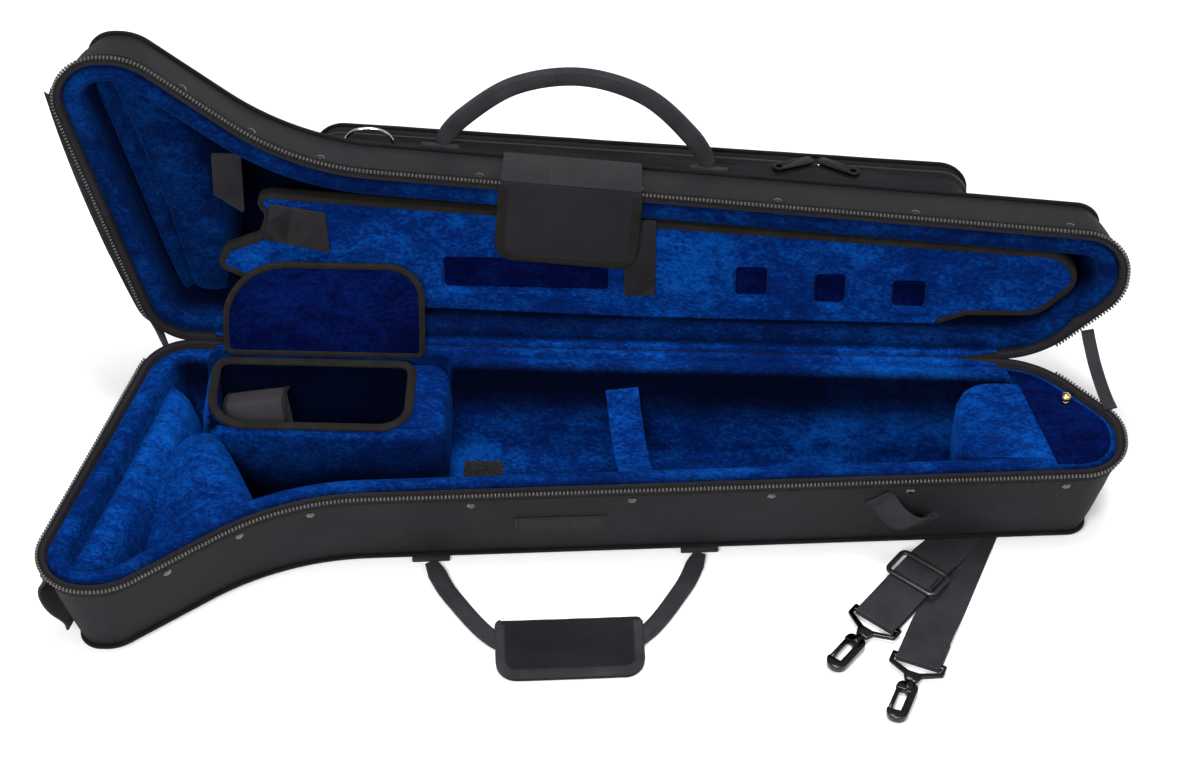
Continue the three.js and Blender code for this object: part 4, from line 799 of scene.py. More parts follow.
def liningOf(name, half):
    shape, depth, inset = liningShape, half["depth"], shellShape["wall"] + shellShape["fit"]
    foot = half["panel"] + shellShape["fit"]
    top, bottom = depth - shape["top"], foot + half["pad"] + shape["cornerHigh"]
    slope = half["draft"] * shape["slope"]
    rows = [ringAt(half, rise, draftAt(half, rise) + inset) for rise in (foot, depth - shape["under"])]
    for k in range(9):  # the roll along the rim
        angle = pi * k / 8
        rows.append(ringAt(half, depth - shape["roll"] + shape["crown"] * sin(angle) ** 0.8,
                           inset + shape["roll"] * (1 - cos(angle)) + shape["clear"]))
    for k in range(1, 7):  # the wall
        share = k / 6
        lean = shape["lean"] + (slope - shape["gain"]) * share
        rows.append(ringAt(half, top + (bottom - top) * share, inset + lean + shape["belly"] * sin(pi * share),
                           shape["lumps"]))
    for k in range(1, 7):  # the rounded foot
        angle = k * pi / 12
        rows.append(ringAt(half, bottom - shape["cornerHigh"] * sin(angle),
                           inset + shape["foot"] + slope + shape["cornerWide"] * (1 - cos(angle)),
                           shape["footLumps"] * (6 - k) / 6))
    return loft(name, rows)


baseShell = shellOf("baseShell", baseHalf)
lidShell = shellOf("lidShell", lidHalf)
baseLining = liningOf("baseLining", baseHalf)
lidLining = liningOf("lidLining", lidHalf)
print("shells and linings lofted")

# the strap's groove under the base
grooveShape = {"front": (0.281, 0.362), "back": (0.368, 0.453), "y": (-0.065, 0.105), "z": (-0.01, 0.0052)}
(frontLeft, frontRight), (backLeft, backRight) = grooveShape["front"], grooveShape["back"]
frontY, backY = grooveShape["y"]
boolean(baseShell, loft("groove", [
    [(frontLeft, frontY, z), (frontRight, frontY, z), (backRight, backY, z), (backLeft, backY, z)]
    for z in grooveShape["z"]
]))
finishPiece(baseShell, "case", nylon, "base_shell")
finishPiece(lidShell, "lid", nylon, "lid_shell", place=openTurn)

# accessory box in the back of the bell end: rounded plush walls, a thick right end, a bound opening
boxShape = {
    "x": (-0.343, -0.124), "front": -0.006, "back": 0.0866, "floor": 0.0207, "top": 0.110, "lean": 0.0208,
    "opening": [(-0.335, 0.0795, 0.012, 5), (-0.335, 0.002, 0.034, 9), (-0.158, 0.002, 0.026, 8),
                (-0.158, 0.0795, 0.012, 5)],
    "round": 0.012, "wall": 0.006, "edge": 0.005, "binding": (0.0042, 0.0023),
}
floorZ, topZ = boxShape["floor"], boxShape["top"]


def boxBack(z):
    return boxShape["back"] - boxShape["lean"] * (topZ - z) / (topZ - floorZ)


def boxRing(z, inset, wobble=0.0):
    back, (left, right), front = boxBack(z), boxShape["x"], boxShape["front"]
    corners = [(left, back, 0.018, 7), (left, front, 0.030, 7), (right, front, 0.022, 7), (right, back, 0.018, 7)]
    return outlineRing(corners, z, inset, 14, wobble)


def openingRing(z, inset=0.0):
    # the opening's outline, with as many points as the box's own
    wanted = len(boxRing(0.1, 0))
    ring = outlineRing(boxShape["opening"], z, inset, 0.004)
    for point in ring:
        point.y = min(point.y, boxBack(z) - boxShape["wall"])
    return smoothPath([*ring, ring[0]], wanted + 1)[:wanted]


def turnRing(ring, shift):
    return ring[shift:] + ring[:shift]


# painted shade on the box: full inside it, and outside darker lower down and on faces turned towards the front
def boxShade(place, normal):
    inside = -0.337 < place.x < -0.156 and 0.001 < place.y < 0.081 and place.z < 0.1095
    return 1.0 if inside else (0.100 - place.z) / 0.09 - 0.35 * min(0, normal.y)


boxRows = [boxRing(*row) for row in ((floorZ, 0.0005), (floorZ + 0.02, -0.0005, 0.001), (0.06, -0.002, 0.0012),
                                     (0.085, -0.0015, 0.001), (topZ - boxShape["round"], 0))]
for k in range(1, 6):
    angle = k * pi / 10
    boxRows.append(boxRing(topZ - boxShape["round"] * (1 - sin(angle)), 0.010 * (1 - cos(angle))))
boxStart, openStart = boxRows[-1], openingRing(topZ)
shift = min(range(len(openStart)),
            key=lambda s: sum((a - b).length for a, b in zip(turnRing(openStart, s), boxStart)))
for share in (0.35, 0.75, 1.0):
    boxRows.append([a.lerp(b, share) + Vector((0, 0, 0.002 * sin(pi * share)))
                    for a, b in zip(boxStart, turnRing(openingRing(topZ, -0.003), shift))])
for z, inset in ((topZ - 0.003, 0.0), (0.06, 0.0005), (0.034, 0.001), (0.0265, 0.007)):
    boxRows.append(turnRing(openingRing(z, inset), shift))
accessoryBox = finishPiece(loft("accessoryBox", boxRows), "case", plush, "accessory_box")
paintShade(accessoryBox, boxShade)
boxBinding = sweep("accessoryBoxBinding", outlineRing(boxShape["opening"], topZ + 0.0008, 0.0, boxShape["edge"]),
                   oval(*boxShape["binding"], 10, 0.8), closed=True)
finishPiece(boxBinding, "case", bindingTape, "accessory_box_binding", angle=60)
print("accessory box made")

# room in the base lining for the box and for the end compartment's lid
endShape = {"hinge": ((0.381, 0.082), (0.411, -0.014)), "top": 0.118, "thick": 0.004, "edge": 0.012, "raise": 2.5,
            "room": 0.0045}
boolean(baseLining, loft("boxRoom", [boxRing(z, -0.0004) for z in (0.03, 0.07, 0.14)]))
hingeBack, hingeFront = [Vector(point) for point in endShape["hinge"]]
seam, seamMiddle = hingeFront - hingeBack, (hingeBack + hingeFront) / 2


def endRegion(name, gap, bottom=0.0, top=0.2):
    # all that lies right of the end lid's hinge
    start, end = seamMiddle + seam + Vector((gap, 0)), seamMiddle - seam + Vector((gap, 0))
    flat = [start, Vector((0.9, start.y)), Vector((0.9, end.y)), end]
    return loft(name, [[(p.x, p.y, z) for p in flat] for z in (bottom, top)])


def rimPlate(name, inset, bottom, top):
    return loft(name, [[Vector((*sample[0], z)) for sample in rimSamples(inset)] for z in (bottom, top)])


endRoom = rimPlate("endRoom", endShape["edge"] - 0.0006, endShape["top"] - endShape["room"], 0.13)
boolean(endRoom, endRegion("endRoomSide", -endShape["room"]), "INTERSECT")
boolean(baseLining, endRoom)
# painted shade on the base lining: a little all over, and more on walls facing the front, fading in above 58 mm
paintShade(baseLining, lambda place, normal: 0.1 - min(0, normal.y) * max(0, min(1, (place.z - 0.058) / 0.03)))
finishPiece(baseLining, "case", plush, "base_lining")

# the lid's padding is pressed in where the end lid's knob meets it
knobShape = {"place": (0.427, 0.046), "stem": 0.0026, "round": 0.0048, "flare": 1.25, "centre": 0.0044, "neck": 0.0035,
             "foot": 0.0012, "dent": (0.016, 0.0075)}
# painted shade on the lid's lining: heavy all over, and darker the deeper into the lid
paintShade(lidLining, lambda place, normal: 0.68 + (place.z - 0.126) / 0.05)
dentWide, dentDeep = knobShape["dent"]
for vertex in lidLining.data.vertices:
    away = hypot(vertex.co.x - knobShape["place"][0], vertex.co.y - knobShape["place"][1])
    if away < dentWide and vertex.co.z < 0.135:
        vertex.co.z += dentDeep * (1 - (away / dentWide) ** 2)
finishPiece(lidLining, "lid", plush, "lid_lining", place=openTurn)

# end lid: a thin plush-covered board with a turned knob; its plush is darkened as painted shade
endTurn = turnAbout(Vector((*hingeBack, endShape["top"])), endShape["raise"], Vector((*seam, 0)).normalized())
endLid = rimPlate("endLid", endShape["edge"], endShape["top"] - endShape["thick"], endShape["top"])
boolean(endLid, endRegion("endLidSide", 0.002), "INTERSECT")
bevelEdges(endLid, 0.0012)
finishPiece(endLid, "end_lid", shadedPlush, "end_lid", place=endTurn)
knob = startShape(bpy.ops.mesh.primitive_uv_sphere_add, "endLidKnob", segments=28, ring_count=14,
                  radius=knobShape["round"], location=(*knobShape["place"], endShape["top"] + knobShape["centre"]))
for vertex in knob.data.vertices:
    low = vertex.co.z - endShape["top"]
    if low < knobShape["neck"]:
        flat = Vector((vertex.co.x - knobShape["place"][0], vertex.co.y - knobShape["place"][1]))
        if flat.length > knobShape["stem"]:
            flat *= knobShape["stem"] * (knobShape["flare"] if low < knobShape["foot"] else 1) / flat.length
            vertex.co.x, vertex.co.y = knobShape["place"][0] + flat.x, knobShape["place"][1] + flat.y
        vertex.co.z = max(vertex.co.z, endShape["top"] + 0.0002)
finishPiece(knob, "end_lid", brass, "end_lid_knob", angle=50, place=endTurn)
print("end lid made")


# cushions
def insideRoom(name, half, inset, low, high):
    rises = (low, (low + high) / 2, high)
    return loft(name, [ringAt(half, rise, inset + draftAt(half, rise)) for rise in rises])


puffShape = {"voxel": 0.005, "pressure": 3.0, "reach": 0.004, "frames": 20, "quality": 5}


def puffUp(piece):
    # remesh and inflate a cushion, keep each point near where it was
    applyModifier(piece, "REMESH", mode="VOXEL", voxel_size=puffShape["voxel"], use_smooth_shade=True)
    before = [vertex.co.copy() for vertex in piece.data.vertices]
    focus(piece)
    cloth = piece.modifiers.new("inflate", "CLOTH")
    cloth.settings.use_pressure = True
    cloth.settings.uniform_pressure_force = puffShape["pressure"]
    cloth.settings.effector_weights.gravity = 0
    cloth.settings.quality = puffShape["quality"]
    cloth.point_cache.frame_start, cloth.point_cache.frame_end = 1, puffShape["frames"]
    for step in range(1, puffShape["frames"] + 1):
        bpy.context.scene.frame_set(step)
    bpy.ops.object.modifier_apply(modifier=cloth.name)
    bpy.context.scene.frame_set(1)
    for vertex, start in zip(piece.data.vertices, before):
        moved = vertex.co - start
        if moved.length > puffShape["reach"]:
            vertex.co = start + moved * (puffShape["reach"] / moved.length)
    applyModifier(piece, "SUBSURF", levels=1, render_levels=1)
    plainMap(piece)
    return piece


# end block: the plush wall of the narrow end's compartment
blockShape = {
    "left": 0.332, "front": -0.036 - (rightEnd - 0.37) * 0.0749, "lean": 0.0195, "gap": 0.004, "seamGap": 0.010,
    "rows": ((0.0207, 0.0), (0.034, -0.002), (0.07, -0.003), (0.1, -0.001), (0.1095, 0.0035), (0.1128, 0.009),
             (0.1137, 0.016)),
}


def seamAt(y):
    hingeX, hingeY = endShape["hinge"][0]
    return hingeX + seam.x / seam.y * (y - hingeY) + blockShape["seamGap"]


blockRows = []
for z, out in blockShape["rows"]:
    lean = draftAt(baseHalf, z) + blockShape["lean"]
    left, front, back = blockShape["left"] + out, blockShape["front"] + lean, hingeSide - lean
    frontRow, backRow = front + blockShape["gap"], back - blockShape["gap"]
    corners = [(left, backRow, 0.016, 5), (left, frontRow, 0.020, 6), (seamAt(front), frontRow, 0.004, 2),
               (seamAt(back), backRow, 0.004, 2)]
    blockRows.append(outlineRing(corners, z, 0.0, 9, 0.0015))
endBlock = finishPiece(loft("endBlock", blockRows), "case", plush, "end_block", angle=60)

# a pad along the slanted end
padShape = {
    "y": (-0.165, 0.056), "thick": 0.027, "top": 0.106, "floor": 0.021, "start": 0.024, "lean": 0.016,
    "section": ((0.0, 0.021), (1.0, 0.021), (1.08, 0.045), (1.02, 0.072), (0.92, 0.09), (0.68, 0.101), (0.35, 0.106),
                (0.0, 0.103), (-0.12, 0.06)),
}


def wallAt(y):
    return leftEnd + plan["slant"] * (y - (hingeSide - plan["bellEnd"])) / plan["bellEnd"]


padRows = []
for k in range(15):
    share = k / 14
    y = padShape["y"][0] + (padShape["y"][1] - padShape["y"][0]) * share
    draw = sqrt(max(0.0, 1 - abs(2 * share - 1) ** 5)) * 0.35 + 0.65
    start = wallAt(y) + padShape["start"]
    padRows.append([(start + padShape["lean"] * (1 - rise / padShape["top"]) + padShape["thick"] * reach * draw, y,
                     padShape["floor"] + (rise - padShape["floor"]) * (0.86 + 0.14 * draw))
                    for reach, rise in padShape["section"]])
bellPad = puffUp(loft("bellEndPad", padRows))
finishPiece(bellPad, "case", plush, "bell_end_pad", angle=180)

# a wedge across the front corner
wedgeShape = {"high": ((-0.416, 0.046), (-0.392, 0.062), (-0.344, 0.108), (-0.322, 0.112), (-0.308, 0.098)),
              "place": (-0.308, -0.0315, 0), "turn": 25.8, "long": 0.17, "start": 0.045, "floor": 0.021,
              "room": (0.0185, 0.0207, 0.118)}
wedgeTop = smoothPath([(x, 0, z) for x, z in wedgeShape["high"]], 16)
wedgeLeft, wedgeRight = wedgeShape["high"][0][0], wedgeShape["high"][-1][0]
wedgeRows = []
for k in range(13):
    share = k / 12
    across = wedgeShape["start"] - wedgeShape["long"] * share
    edge = 1 - 0.10 * abs(2 * share - 1) ** 4
    wedgeRows.append([(p.x - wedgeRight, across, p.z * edge) for p in wedgeTop]
                     + [(0, across, wedgeShape["floor"]), (wedgeLeft - wedgeRight, across, wedgeShape["floor"])])
bellWedge = loft("bellWedge", wedgeRows)
bellWedge.data.transform(Matrix.Translation(wedgeShape["place"])
                         @ Matrix.Rotation(radians(wedgeShape["turn"]), 4, "Z"))
boolean(bellWedge, insideRoom("wedgeRoom", baseHalf, *wedgeShape["room"]), "INTERSECT")
finishPiece(puffUp(bellWedge), "case", plush, "bell_wedge", angle=180)

# leaf-shaped cushion in the lid's bell end, with a roll along its outer side
leafShape = {"start": 0.030, "width": 0.080, "bottom": 0.1405, "top": lidHalf["end"] - 0.0134 - 0.0003,
             "y": (-0.178, 0.066), "roll": 0.24, "room": (0.0185, 0.002, 0.086), "lumps": 0.0009}
leafRows = []
for k in range(49):
    share = k / 48
    y = leafShape["y"][0] + (leafShape["y"][1] - leafShape["y"][0]) * share
    middle = 1 - abs(2 * share - 0.92) ** 2.6
    width = leafShape["width"] * (0.58 + 0.42 * max(0.0, middle))
    draw = 0.62 + 0.38 * (1 - abs(2 * share - 1) ** 5) ** 0.5
    row = []
    for j in range(37):
        w, roll = j / 36, leafShape["roll"]
        bulge = 0.86 * abs(sin(pi * w / roll)) ** 0.6 if w < roll else abs(sin(pi * (w - roll) / (1 - roll))) ** 0.42
        rise = (leafShape["top"] - leafShape["bottom"]) * (0.70 + 0.30 * bulge) * draw
        rise *= min(1.0, w / 0.04, (1 - w) / 0.10) ** 0.5 if 0 < w < 1 else 0.02
        lump = leafShape["lumps"] * noise.noise(Vector((w * 6, y * 40, 0)))
        row.append((wallAt(y) + leafShape["start"] + width * w, y, leafShape["top"] - rise + lump))
    leafRows.append(row)
bellCushion = loft("bellCushion", leafRows)
boolean(bellCushion, insideRoom("cushionRoom", lidHalf, *leafShape["room"]), "INTERSECT")
plainMap(bellCushion)
# painted shade over the whole cushion
paintShade(bellCushion, lambda place, normal: 0.7)
finishPiece(bellCushion, "lid", plush, "bell_cushion", angle=75, place=openTurn)
print("cushions made")

# piping, zipper tapes and teeth along both halves
trimShape = {
    "piping": 0.0026, "rise": 0.009, "sunk": 0.75, "cord": (0.0012, 0.0011), "cordStand": 0.0006, "cordDown": 0.0009,
    "tape": ((0.0001, 0.0155), (0.0014, 0.0151), (0.0019, 0.0133), (0.0014, 0.0113), (0.0013, 0.0048),
             (0.0016, 0.0042), (0.0016, 0.0016), (0.0002, 0.0014)),
    "pitch": 0.0033, "tooth": (0.0017, 0.0030, 0.0027), "toothPlace": (0.0013, 0.0030), "toothBevel": 0.0004,
    "seams": (("SeamA", 0.0128, 0.0021), ("SeamB", 0.0172, 0.0006)), "zipRun": (0.8, 6.2),
}


def edgeInset(rise):
    # how far the shell's rounded edge draws in at a rise
    edge = shellShape["edge"]
    return edge * (1 - sqrt(1 - (1 - rise / edge) ** 2))


def rimLine(half, rise, stand, first=0.0, last=8.0):
    # points along the rim at a height, stood off the wall, and the outward directions there
    points, outs = [], []
    for point, out, corner, share in rimSamples(0.0):
        if first - 1e-6 <= corner + share <= last:
            reach = stand - draftAt(half, rise)
            points.append(Vector((point.x + out.x * reach, point.y + out.y * reach, heightOf(half, rise))))
            outs.append(Vector((*out, 0)))
    return points, outs


def trimsOf(half):
    tag, body, turn, depth, zipRun = half["tag"], half["body"], half["turn"], half["depth"], trimShape["zipRun"]
    corner, radius = edgeInset(trimShape["rise"]), trimShape["piping"]
    rows = []
    for k in range(10):
        angle = 2 * pi * k / 10
        stand = radius * (trimShape["sunk"] + cos(angle)) - corner
        rows.append(rimLine(half, trimShape["rise"] + radius * sin(angle), stand)[0])
    finishPiece(loft(tag + "Piping", rows, True, "ring"), body, pipingTape, tag + "_piping", angle=60, place=turn)
    cordWide, cordHigh = trimShape["cord"]
    rows = []
    for k in range(8):
        angle = 2 * pi * k / 8
        rows.append(rimLine(half, depth - trimShape["cordDown"] + cordHigh * sin(angle),
                            trimShape["cordStand"] + cordWide * cos(angle))[0])
    finishPiece(loft(tag + "RimCord", rows, True, "ring"), body, pipingTape, angle=60, place=turn)
    tapeRows = turnedRows([rimLine(half, depth - down, stand, *zipRun)[0] for stand, down in trimShape["tape"]])
    finishPiece(loft(tag + "ZipTape", tapeRows), body, zipTape, tag + "_zipper", angle=60, place=turn)
    down, stand = trimShape["toothPlace"]
    zipTeeth(tag + "ZipTeeth", rimLine(half, depth - down, stand, *zipRun)[0], trimShape["pitch"], trimShape["tooth"],
             body, turn, trimShape["toothBevel"])
    for name, down, stand in trimShape["seams"]:
        line, outs = rimLine(half, depth - down, stand, *zipRun)
        stitches(tag + name, line, outs, body, **rimStitch, place=turn)


trimsOf(baseHalf)
trimsOf(lidHalf)

# places on the straight front wall
flareFoot = Vector(rimCorners[3][:2])
frontAlong = (Vector(rimCorners[4][:2]) - flareFoot).normalized()
frontOut = Vector((frontAlong.y, -frontAlong.x))


def frontPoint(half, x, rise, stand):
    point = flareFoot + frontAlong * ((x - flareFoot.x) / frontAlong.x) + frontOut * (stand - draftAt(half, rise))
    return Vector((*point, heightOf(half, rise)))


def frontFrame(half, x, rise, stand=0.0):
    # x along the wall, y into it, z up it
    along, tilt = Vector((*frontAlong, 0)), half["draft"] * half["way"]
    up = Vector((frontOut.x * tilt, frontOut.y * tilt, half["depth"])).normalized()
    return axesMatrix(along, up.cross(along), up, frontPoint(half, x, rise, stand))


# rivets: small domed caps on both front walls
rivetShape = {"x": (-0.350, -0.293, -0.235, -0.097, 0.044, 0.166, 0.288, 0.425), "down": 0.024, "radius": 0.0036,
              "stand": 0.0003, "flat": 0.45, "foot": 0.0004, "flange": (0.003, 1.12)}


def rivetsOf(half):
    seed = startShape(bpy.ops.mesh.primitive_uv_sphere_add, "rivet", segments=16, ring_count=8,
                      radius=rivetShape["radius"])
    flangeFrom, flangeWide = rivetShape["flange"]
    for vertex in seed.data.vertices:
        vertex.co.z = max(vertex.co.z, -rivetShape["foot"]) * rivetShape["flat"]
        if vertex.co.z <= 0 and vertex.co.xy.length > flangeFrom:
            vertex.co.x, vertex.co.y = vertex.co.x * flangeWide, vertex.co.y * flangeWide
    points, outs = rimLine(half, half["depth"] - rivetShape["down"], rivetShape["stand"])
    rim = [(point.x, out.y) for point, out, *where in rimSamples()]
    places = []
    for x in rivetShape["x"]:
        near = min((i for i, (rimX, facing) in enumerate(rim) if facing < -0.3), key=lambda i: abs(rim[i][0] - x))
        before = near - 1 if rim[near][0] > x else near
        share = (x - rim[before][0]) / (rim[before + 1][0] - rim[before][0])
        out = outs[before].lerp(outs[before + 1], share).normalized()
        tilt = Vector((out.x, out.y, -half["way"] * half["draft"] / half["depth"])).normalized()
        places.append(Matrix.Translation(points[before].lerp(points[before + 1], share))
                      @ tilt.to_track_quat("Z", "Y").to_matrix().to_4x4())
    finishPiece(repeat(half["tag"] + "Rivets", seed, places), half["body"], rivetMetal, angle=50, place=half["turn"])


rivetsOf(baseHalf)
rivetsOf(lidHalf)
print("trims and rivets made")


def bandRows(points, across, width):
    # four points across flat webbing, at each point of its path
    half, sixth = across * width / 2, across * width / 6
    return [[point - half, point - sixth, point + sixth, point + half] for point in points]


def strap(name, path, width, thickness, body, *nodes, across, material=webbing, bevel=0.0005, place=None):
    piece = loft(name, bandRows(path, across, width), False, "open")
    thicken(piece, thickness, bevel)
    return finishPiece(piece, body, material, *nodes, angle=50, place=place)


# hold-down strap: plush-covered webbing across the bay
holdShape = {"back": (0.031, 0.066), "front": (0.049, -0.040), "width": 0.030, "thick": 0.0028, "bevel": 0.0009,
             "sag": (0.020, 0.032, 0.040, 0.041, 0.036, 0.024), "across": (0.986, 0.167, 0)}
holdPoints = []
for i, sag in enumerate(holdShape["sag"]):
    x, y = [back + (front - back) * (i / 5) for back, front in zip(holdShape["back"], holdShape["front"])]
    holdPoints.append((x, y, baseHalf["depth"] - sag))
strap("holdDownStrap", smoothPath(holdPoints, 30), holdShape["width"], holdShape["thick"], "case", "hold_down_strap",
      across=Vector(holdShape["across"]).normalized(), material=plush, bevel=holdShape["bevel"])

# hook-and-loop patches on the bay's floor and on the front wall, the second one sewn round its edge
patchShape = {"floor": (-0.112, -0.076, 0.008, 0.044), "floorZ": 0.0208, "wall": (-0.018, 0.060),
              "size": (0.082, 0.026), "thick": 0.0016, "seam": 0.003}
floorPatch = board("floorPatch", rectangle(*patchShape["floor"], 0.003), patchShape["floorZ"], patchShape["thick"])
finishPiece(floorPatch, "case", loopPile, "floor_patch")
wide, tall = patchShape["size"]
patchPlace = frontFrame(baseHalf, *patchShape["wall"]) @ Matrix.Rotation(radians(90), 4, "X")
wallPatch = board("flapPatch", rectangle(-wide / 2, wide / 2, -tall / 2, tall / 2, 0.002), 0.0003, patchShape["thick"])
finishPiece(wallPatch, "case", loopPile, "flap_patch", place=patchPlace)
edgeLine = [patchPlace @ Vector((x * (wide / 2 - patchShape["seam"]), y * (tall / 2 - patchShape["seam"]), 0.0021))
            for x, y in ((-1, -1), (1, -1), (1, 1), (-1, 1), (-1, -1))]
for i in range(4):
    stitches("flapPatchSeam" + str(i), edgeLine[i:i + 2], Vector((*frontOut, 0)), "case")

# slide panel in the lid, with its recesses, binding and straps
panelShape = {
    "front": 0.1324, "thick": 0.010, "step": 0.012,
    "recesses": ((-0.131, 0.018, 0.007, 0.043), (0.130, 0.160, 0.011, 0.045), (0.201, 0.230, 0.017, 0.051),
                 (0.271, 0.302, 0.022, 0.054)),
    "recess": ((-0.001, -0.0025), (0.0004, -0.0013), (0.0028, 0.0004), (0.007, 0.0012)),
    "edge": ((-0.0012, -0.0003), (-0.0012, -0.0016), (0.0, -0.0026), (0.005, -0.0029), (0.010, -0.0026),
             (0.0112, -0.0016), (0.0112, -0.0003), (0.0108, 0.0028), (0.0103, 0.0030), (0.0101, -0.0001),
             (0.0001, -0.0001), (-0.0002, 0.0030), (-0.0009, 0.0028)),
    "bound": (0.75, 10.9), "folded": (10.85, 0.8),
}
panelCorners = [
    (-0.261, 0.056, 0.060, 7), (-0.331, 0.020, 0.007, 4), (-0.323, 0.003, 0.007, 4), (-0.292, -0.010, 0.009, 4),
    (-0.284, -0.035, 0.012, 5), (-0.300, -0.056, 0.008, 4), (0.415, -0.010, 0.026, 7), (0.440, 0.014, 0.020, 7),
    (0.401, 0.053, 0.026, 6), (0.338, 0.054, 0.014, 4), (0.314, 0.064, 0.014, 4), (0.046, 0.064, 0.200, 3),
]
panelFront, panelStep = panelShape["front"], panelShape["step"]
recessFloor = panelFront + panelShape["recess"][-1][0]


def inRecess(face):
    x, y, z = face.center
    return (panelFront + 0.0035 < z < recessFloor + 0.0005 and face.normal.z < -0.9
            and any(x0 - 0.001 < x < x1 + 0.001 and y0 - 0.001 < y < y1 + 0.001
                    for x0, x1, y0, y1 in panelShape["recesses"]))


slidePanel = loft("slidePanel", stackOf(panelCorners, panelFront, ((0, 0), (panelShape["thick"], 0)), panelStep))
for sides in panelShape["recesses"]:
    boolean(slidePanel, loft("recess", stackOf(rectangle(*sides, 0.005, 4), panelFront, panelShape["recess"], 0.006)))
recessFaces = [face.index for face in slidePanel.data.polygons if inRecess(face)]
finishPiece(slidePanel, "lid", plush, "slide_panel", angle=35, place=openTurn)
# the recesses' floors take the darkened plush, as painted shade in the recesses
slidePanel.data.materials.append(shadedPlush)
for index in recessFaces:
    slidePanel.data.polygons[index].material_index = 1
sections = turnedRows(stackOf(panelCorners, panelFront, panelShape["edge"], panelStep))
along = [corner + share for point, out, corner, share in outlineSamples(panelCorners, 0.0, panelStep)]
boundFrom, boundTo = panelShape["bound"]
foldFrom, foldTo = panelShape["folded"]
bound = [section for section, where in zip(sections, along) if boundFrom <= where <= boundTo]
folded = ([section for section, where in zip(sections, along) if where >= foldFrom]
          + [section for section, where in zip(sections, along) if where <= foldTo])
finishPiece(loft("panelBinding", bound), "lid", bindingTape, "panel_binding", angle=60, place=openTurn)
finishPiece(loft("panelFold", folded), "lid", plush, angle=60, place=openTurn)
lidStrapShape = {"clear": 0.0008, "thick": 0.002, "radius": 0.002, "bevel": 0.0005, "step": 0.008}
for name, node, outline in (
    ("panelStrap", "panel_strap", ((-0.289, -0.010), (-0.282, -0.047), (-0.234, -0.039), (-0.231, 0.003))),
    ("middleStrap", "middle_strap", ((0.031, 0.042), (0.031, -0.039), (0.059, -0.039), (0.059, 0.042))),
    ("strapTab", "strap_tab", ((-0.331, -0.056), (-0.331, -0.099), (-0.305, -0.099), (-0.305, -0.037))),
):
    piece = board(name, [(x, y, lidStrapShape["radius"], 3) for x, y in outline],
                  panelFront - lidStrapShape["clear"] - lidStrapShape["thick"], lidStrapShape["thick"],
                  lidStrapShape["bevel"], lidStrapShape["step"])
    finishPiece(piece, "lid", webbing, node, place=openTurn)
print("panel and straps made")

# lid of the accessory box: a plush board darkened as painted shade, with a thick woven binding
smallShape = {"z": (0.1139, 0.1185), "hinge": (0.085, 0.1162), "open": -109, "step": 0.010,
              "edge": ((-0.0004, 0.016), (0.0006, 0.004), (0.0012, 0.0)), "binding": (0.0030, 0.0024)}
smallCorners = [(-0.326, 0.0837, 0.005, 4), (-0.326, -0.004, 0.058, 14), (-0.150, -0.004, 0.030, 10),
                (-0.150, 0.0837, 0.005, 4)]
smallTurn = turnAbout(Vector((0, *smallShape["hinge"])), smallShape["open"], "X")
smallRows = stackOf(smallCorners, smallShape["z"][0], smallShape["edge"], smallShape["step"])
smallRows += stackOf(smallCorners, smallShape["z"][1], [(-rise, inset) for rise, inset in reversed(smallShape["edge"])],
                     smallShape["step"])
finishPiece(loft("accessoryLid", smallRows), "accessory_lid", paintedShadeInnerPlush, "accessory_lid", angle=60, place=smallTurn)
smallEdge = sweep("accessoryLidBinding", outlineRing(smallCorners, smallShape["hinge"][1], -0.0004, 0.006),
                  oval(*smallShape["binding"], 12, 0.75), True)
finishPiece(smallEdge, "accessory_lid", bindingTape, "accessory_lid_binding", angle=60, place=smallTurn)
print("accessory lid made")

# music pocket on the outside of the lid, its domed cover, corner piping and zipper
pocketShape = {
    "left": (-0.253, -0.050), "right": (0.339, -0.019), "back": 0.052, "radius": 0.024, "high": 0.052, "foot": 0.2091,
    "step": 0.014, "lineStep": 0.012, "wall": 0.0025, "wallHigh": 0.047, "belly": 0.0016,
    "cover": ((0.0003, 0.0), (0.0010, -0.0016), (0.0020, -0.0020), (0.0029, -0.0012), (0.0030, 0.0008),
              (0.0042, 0.004), (0.0058, 0.009), (0.0068, 0.015), (0.0073, 0.0225)),
    "tapes": (("Lower", 0.0325), ("Upper", 0.0395)), "tapeHalf": 0.0028, "zip": 0.036,
    "tooth": (0.0012, 0.0016, 0.0024),
    "cords": (("Top", 0.0505, 0.0022, 0.7), ("Foot", 0.0020, 0.0018, 0.0)), "cord": 0.0016,
    "seams": (("A", 0.0285), ("B", 0.0435)),
}
(leftX, leftY), (rightX, rightY) = pocketShape["left"], pocketShape["right"]
pocketCorners = [(x, y, pocketShape["radius"], 8) for x, y in (
    (leftX, pocketShape["back"]), (leftX, leftY), (rightX, rightY), (rightX, pocketShape["back"]))]
pocketFoot, pocketTop = pocketShape["foot"], pocketShape["foot"] + pocketShape["high"]
pocketRings = [(pocketFoot, -0.0008), (pocketFoot + 0.001, -0.0016), (pocketFoot + 0.0025, -0.0002, 0.0006)]
for k in range(1, 6):
    pocketRings.append((pocketFoot + 0.0025 + pocketShape["wallHigh"] * k / 5, -pocketShape["belly"] * sin(pi * k / 5),
                        0.0014))
pocketRings += [(pocketTop, 0.0), (pocketTop, pocketShape["wall"]), (pocketFoot, pocketShape["wall"])]
pocketRows = [outlineRing(pocketCorners, z, inset, pocketShape["step"], *wobble) for z, inset, *wobble in pocketRings]
finishPiece(loft("musicPocket", pocketRows, True, "ring"), "lid", nylon, "music_pocket", angle=50, place=openTurn)
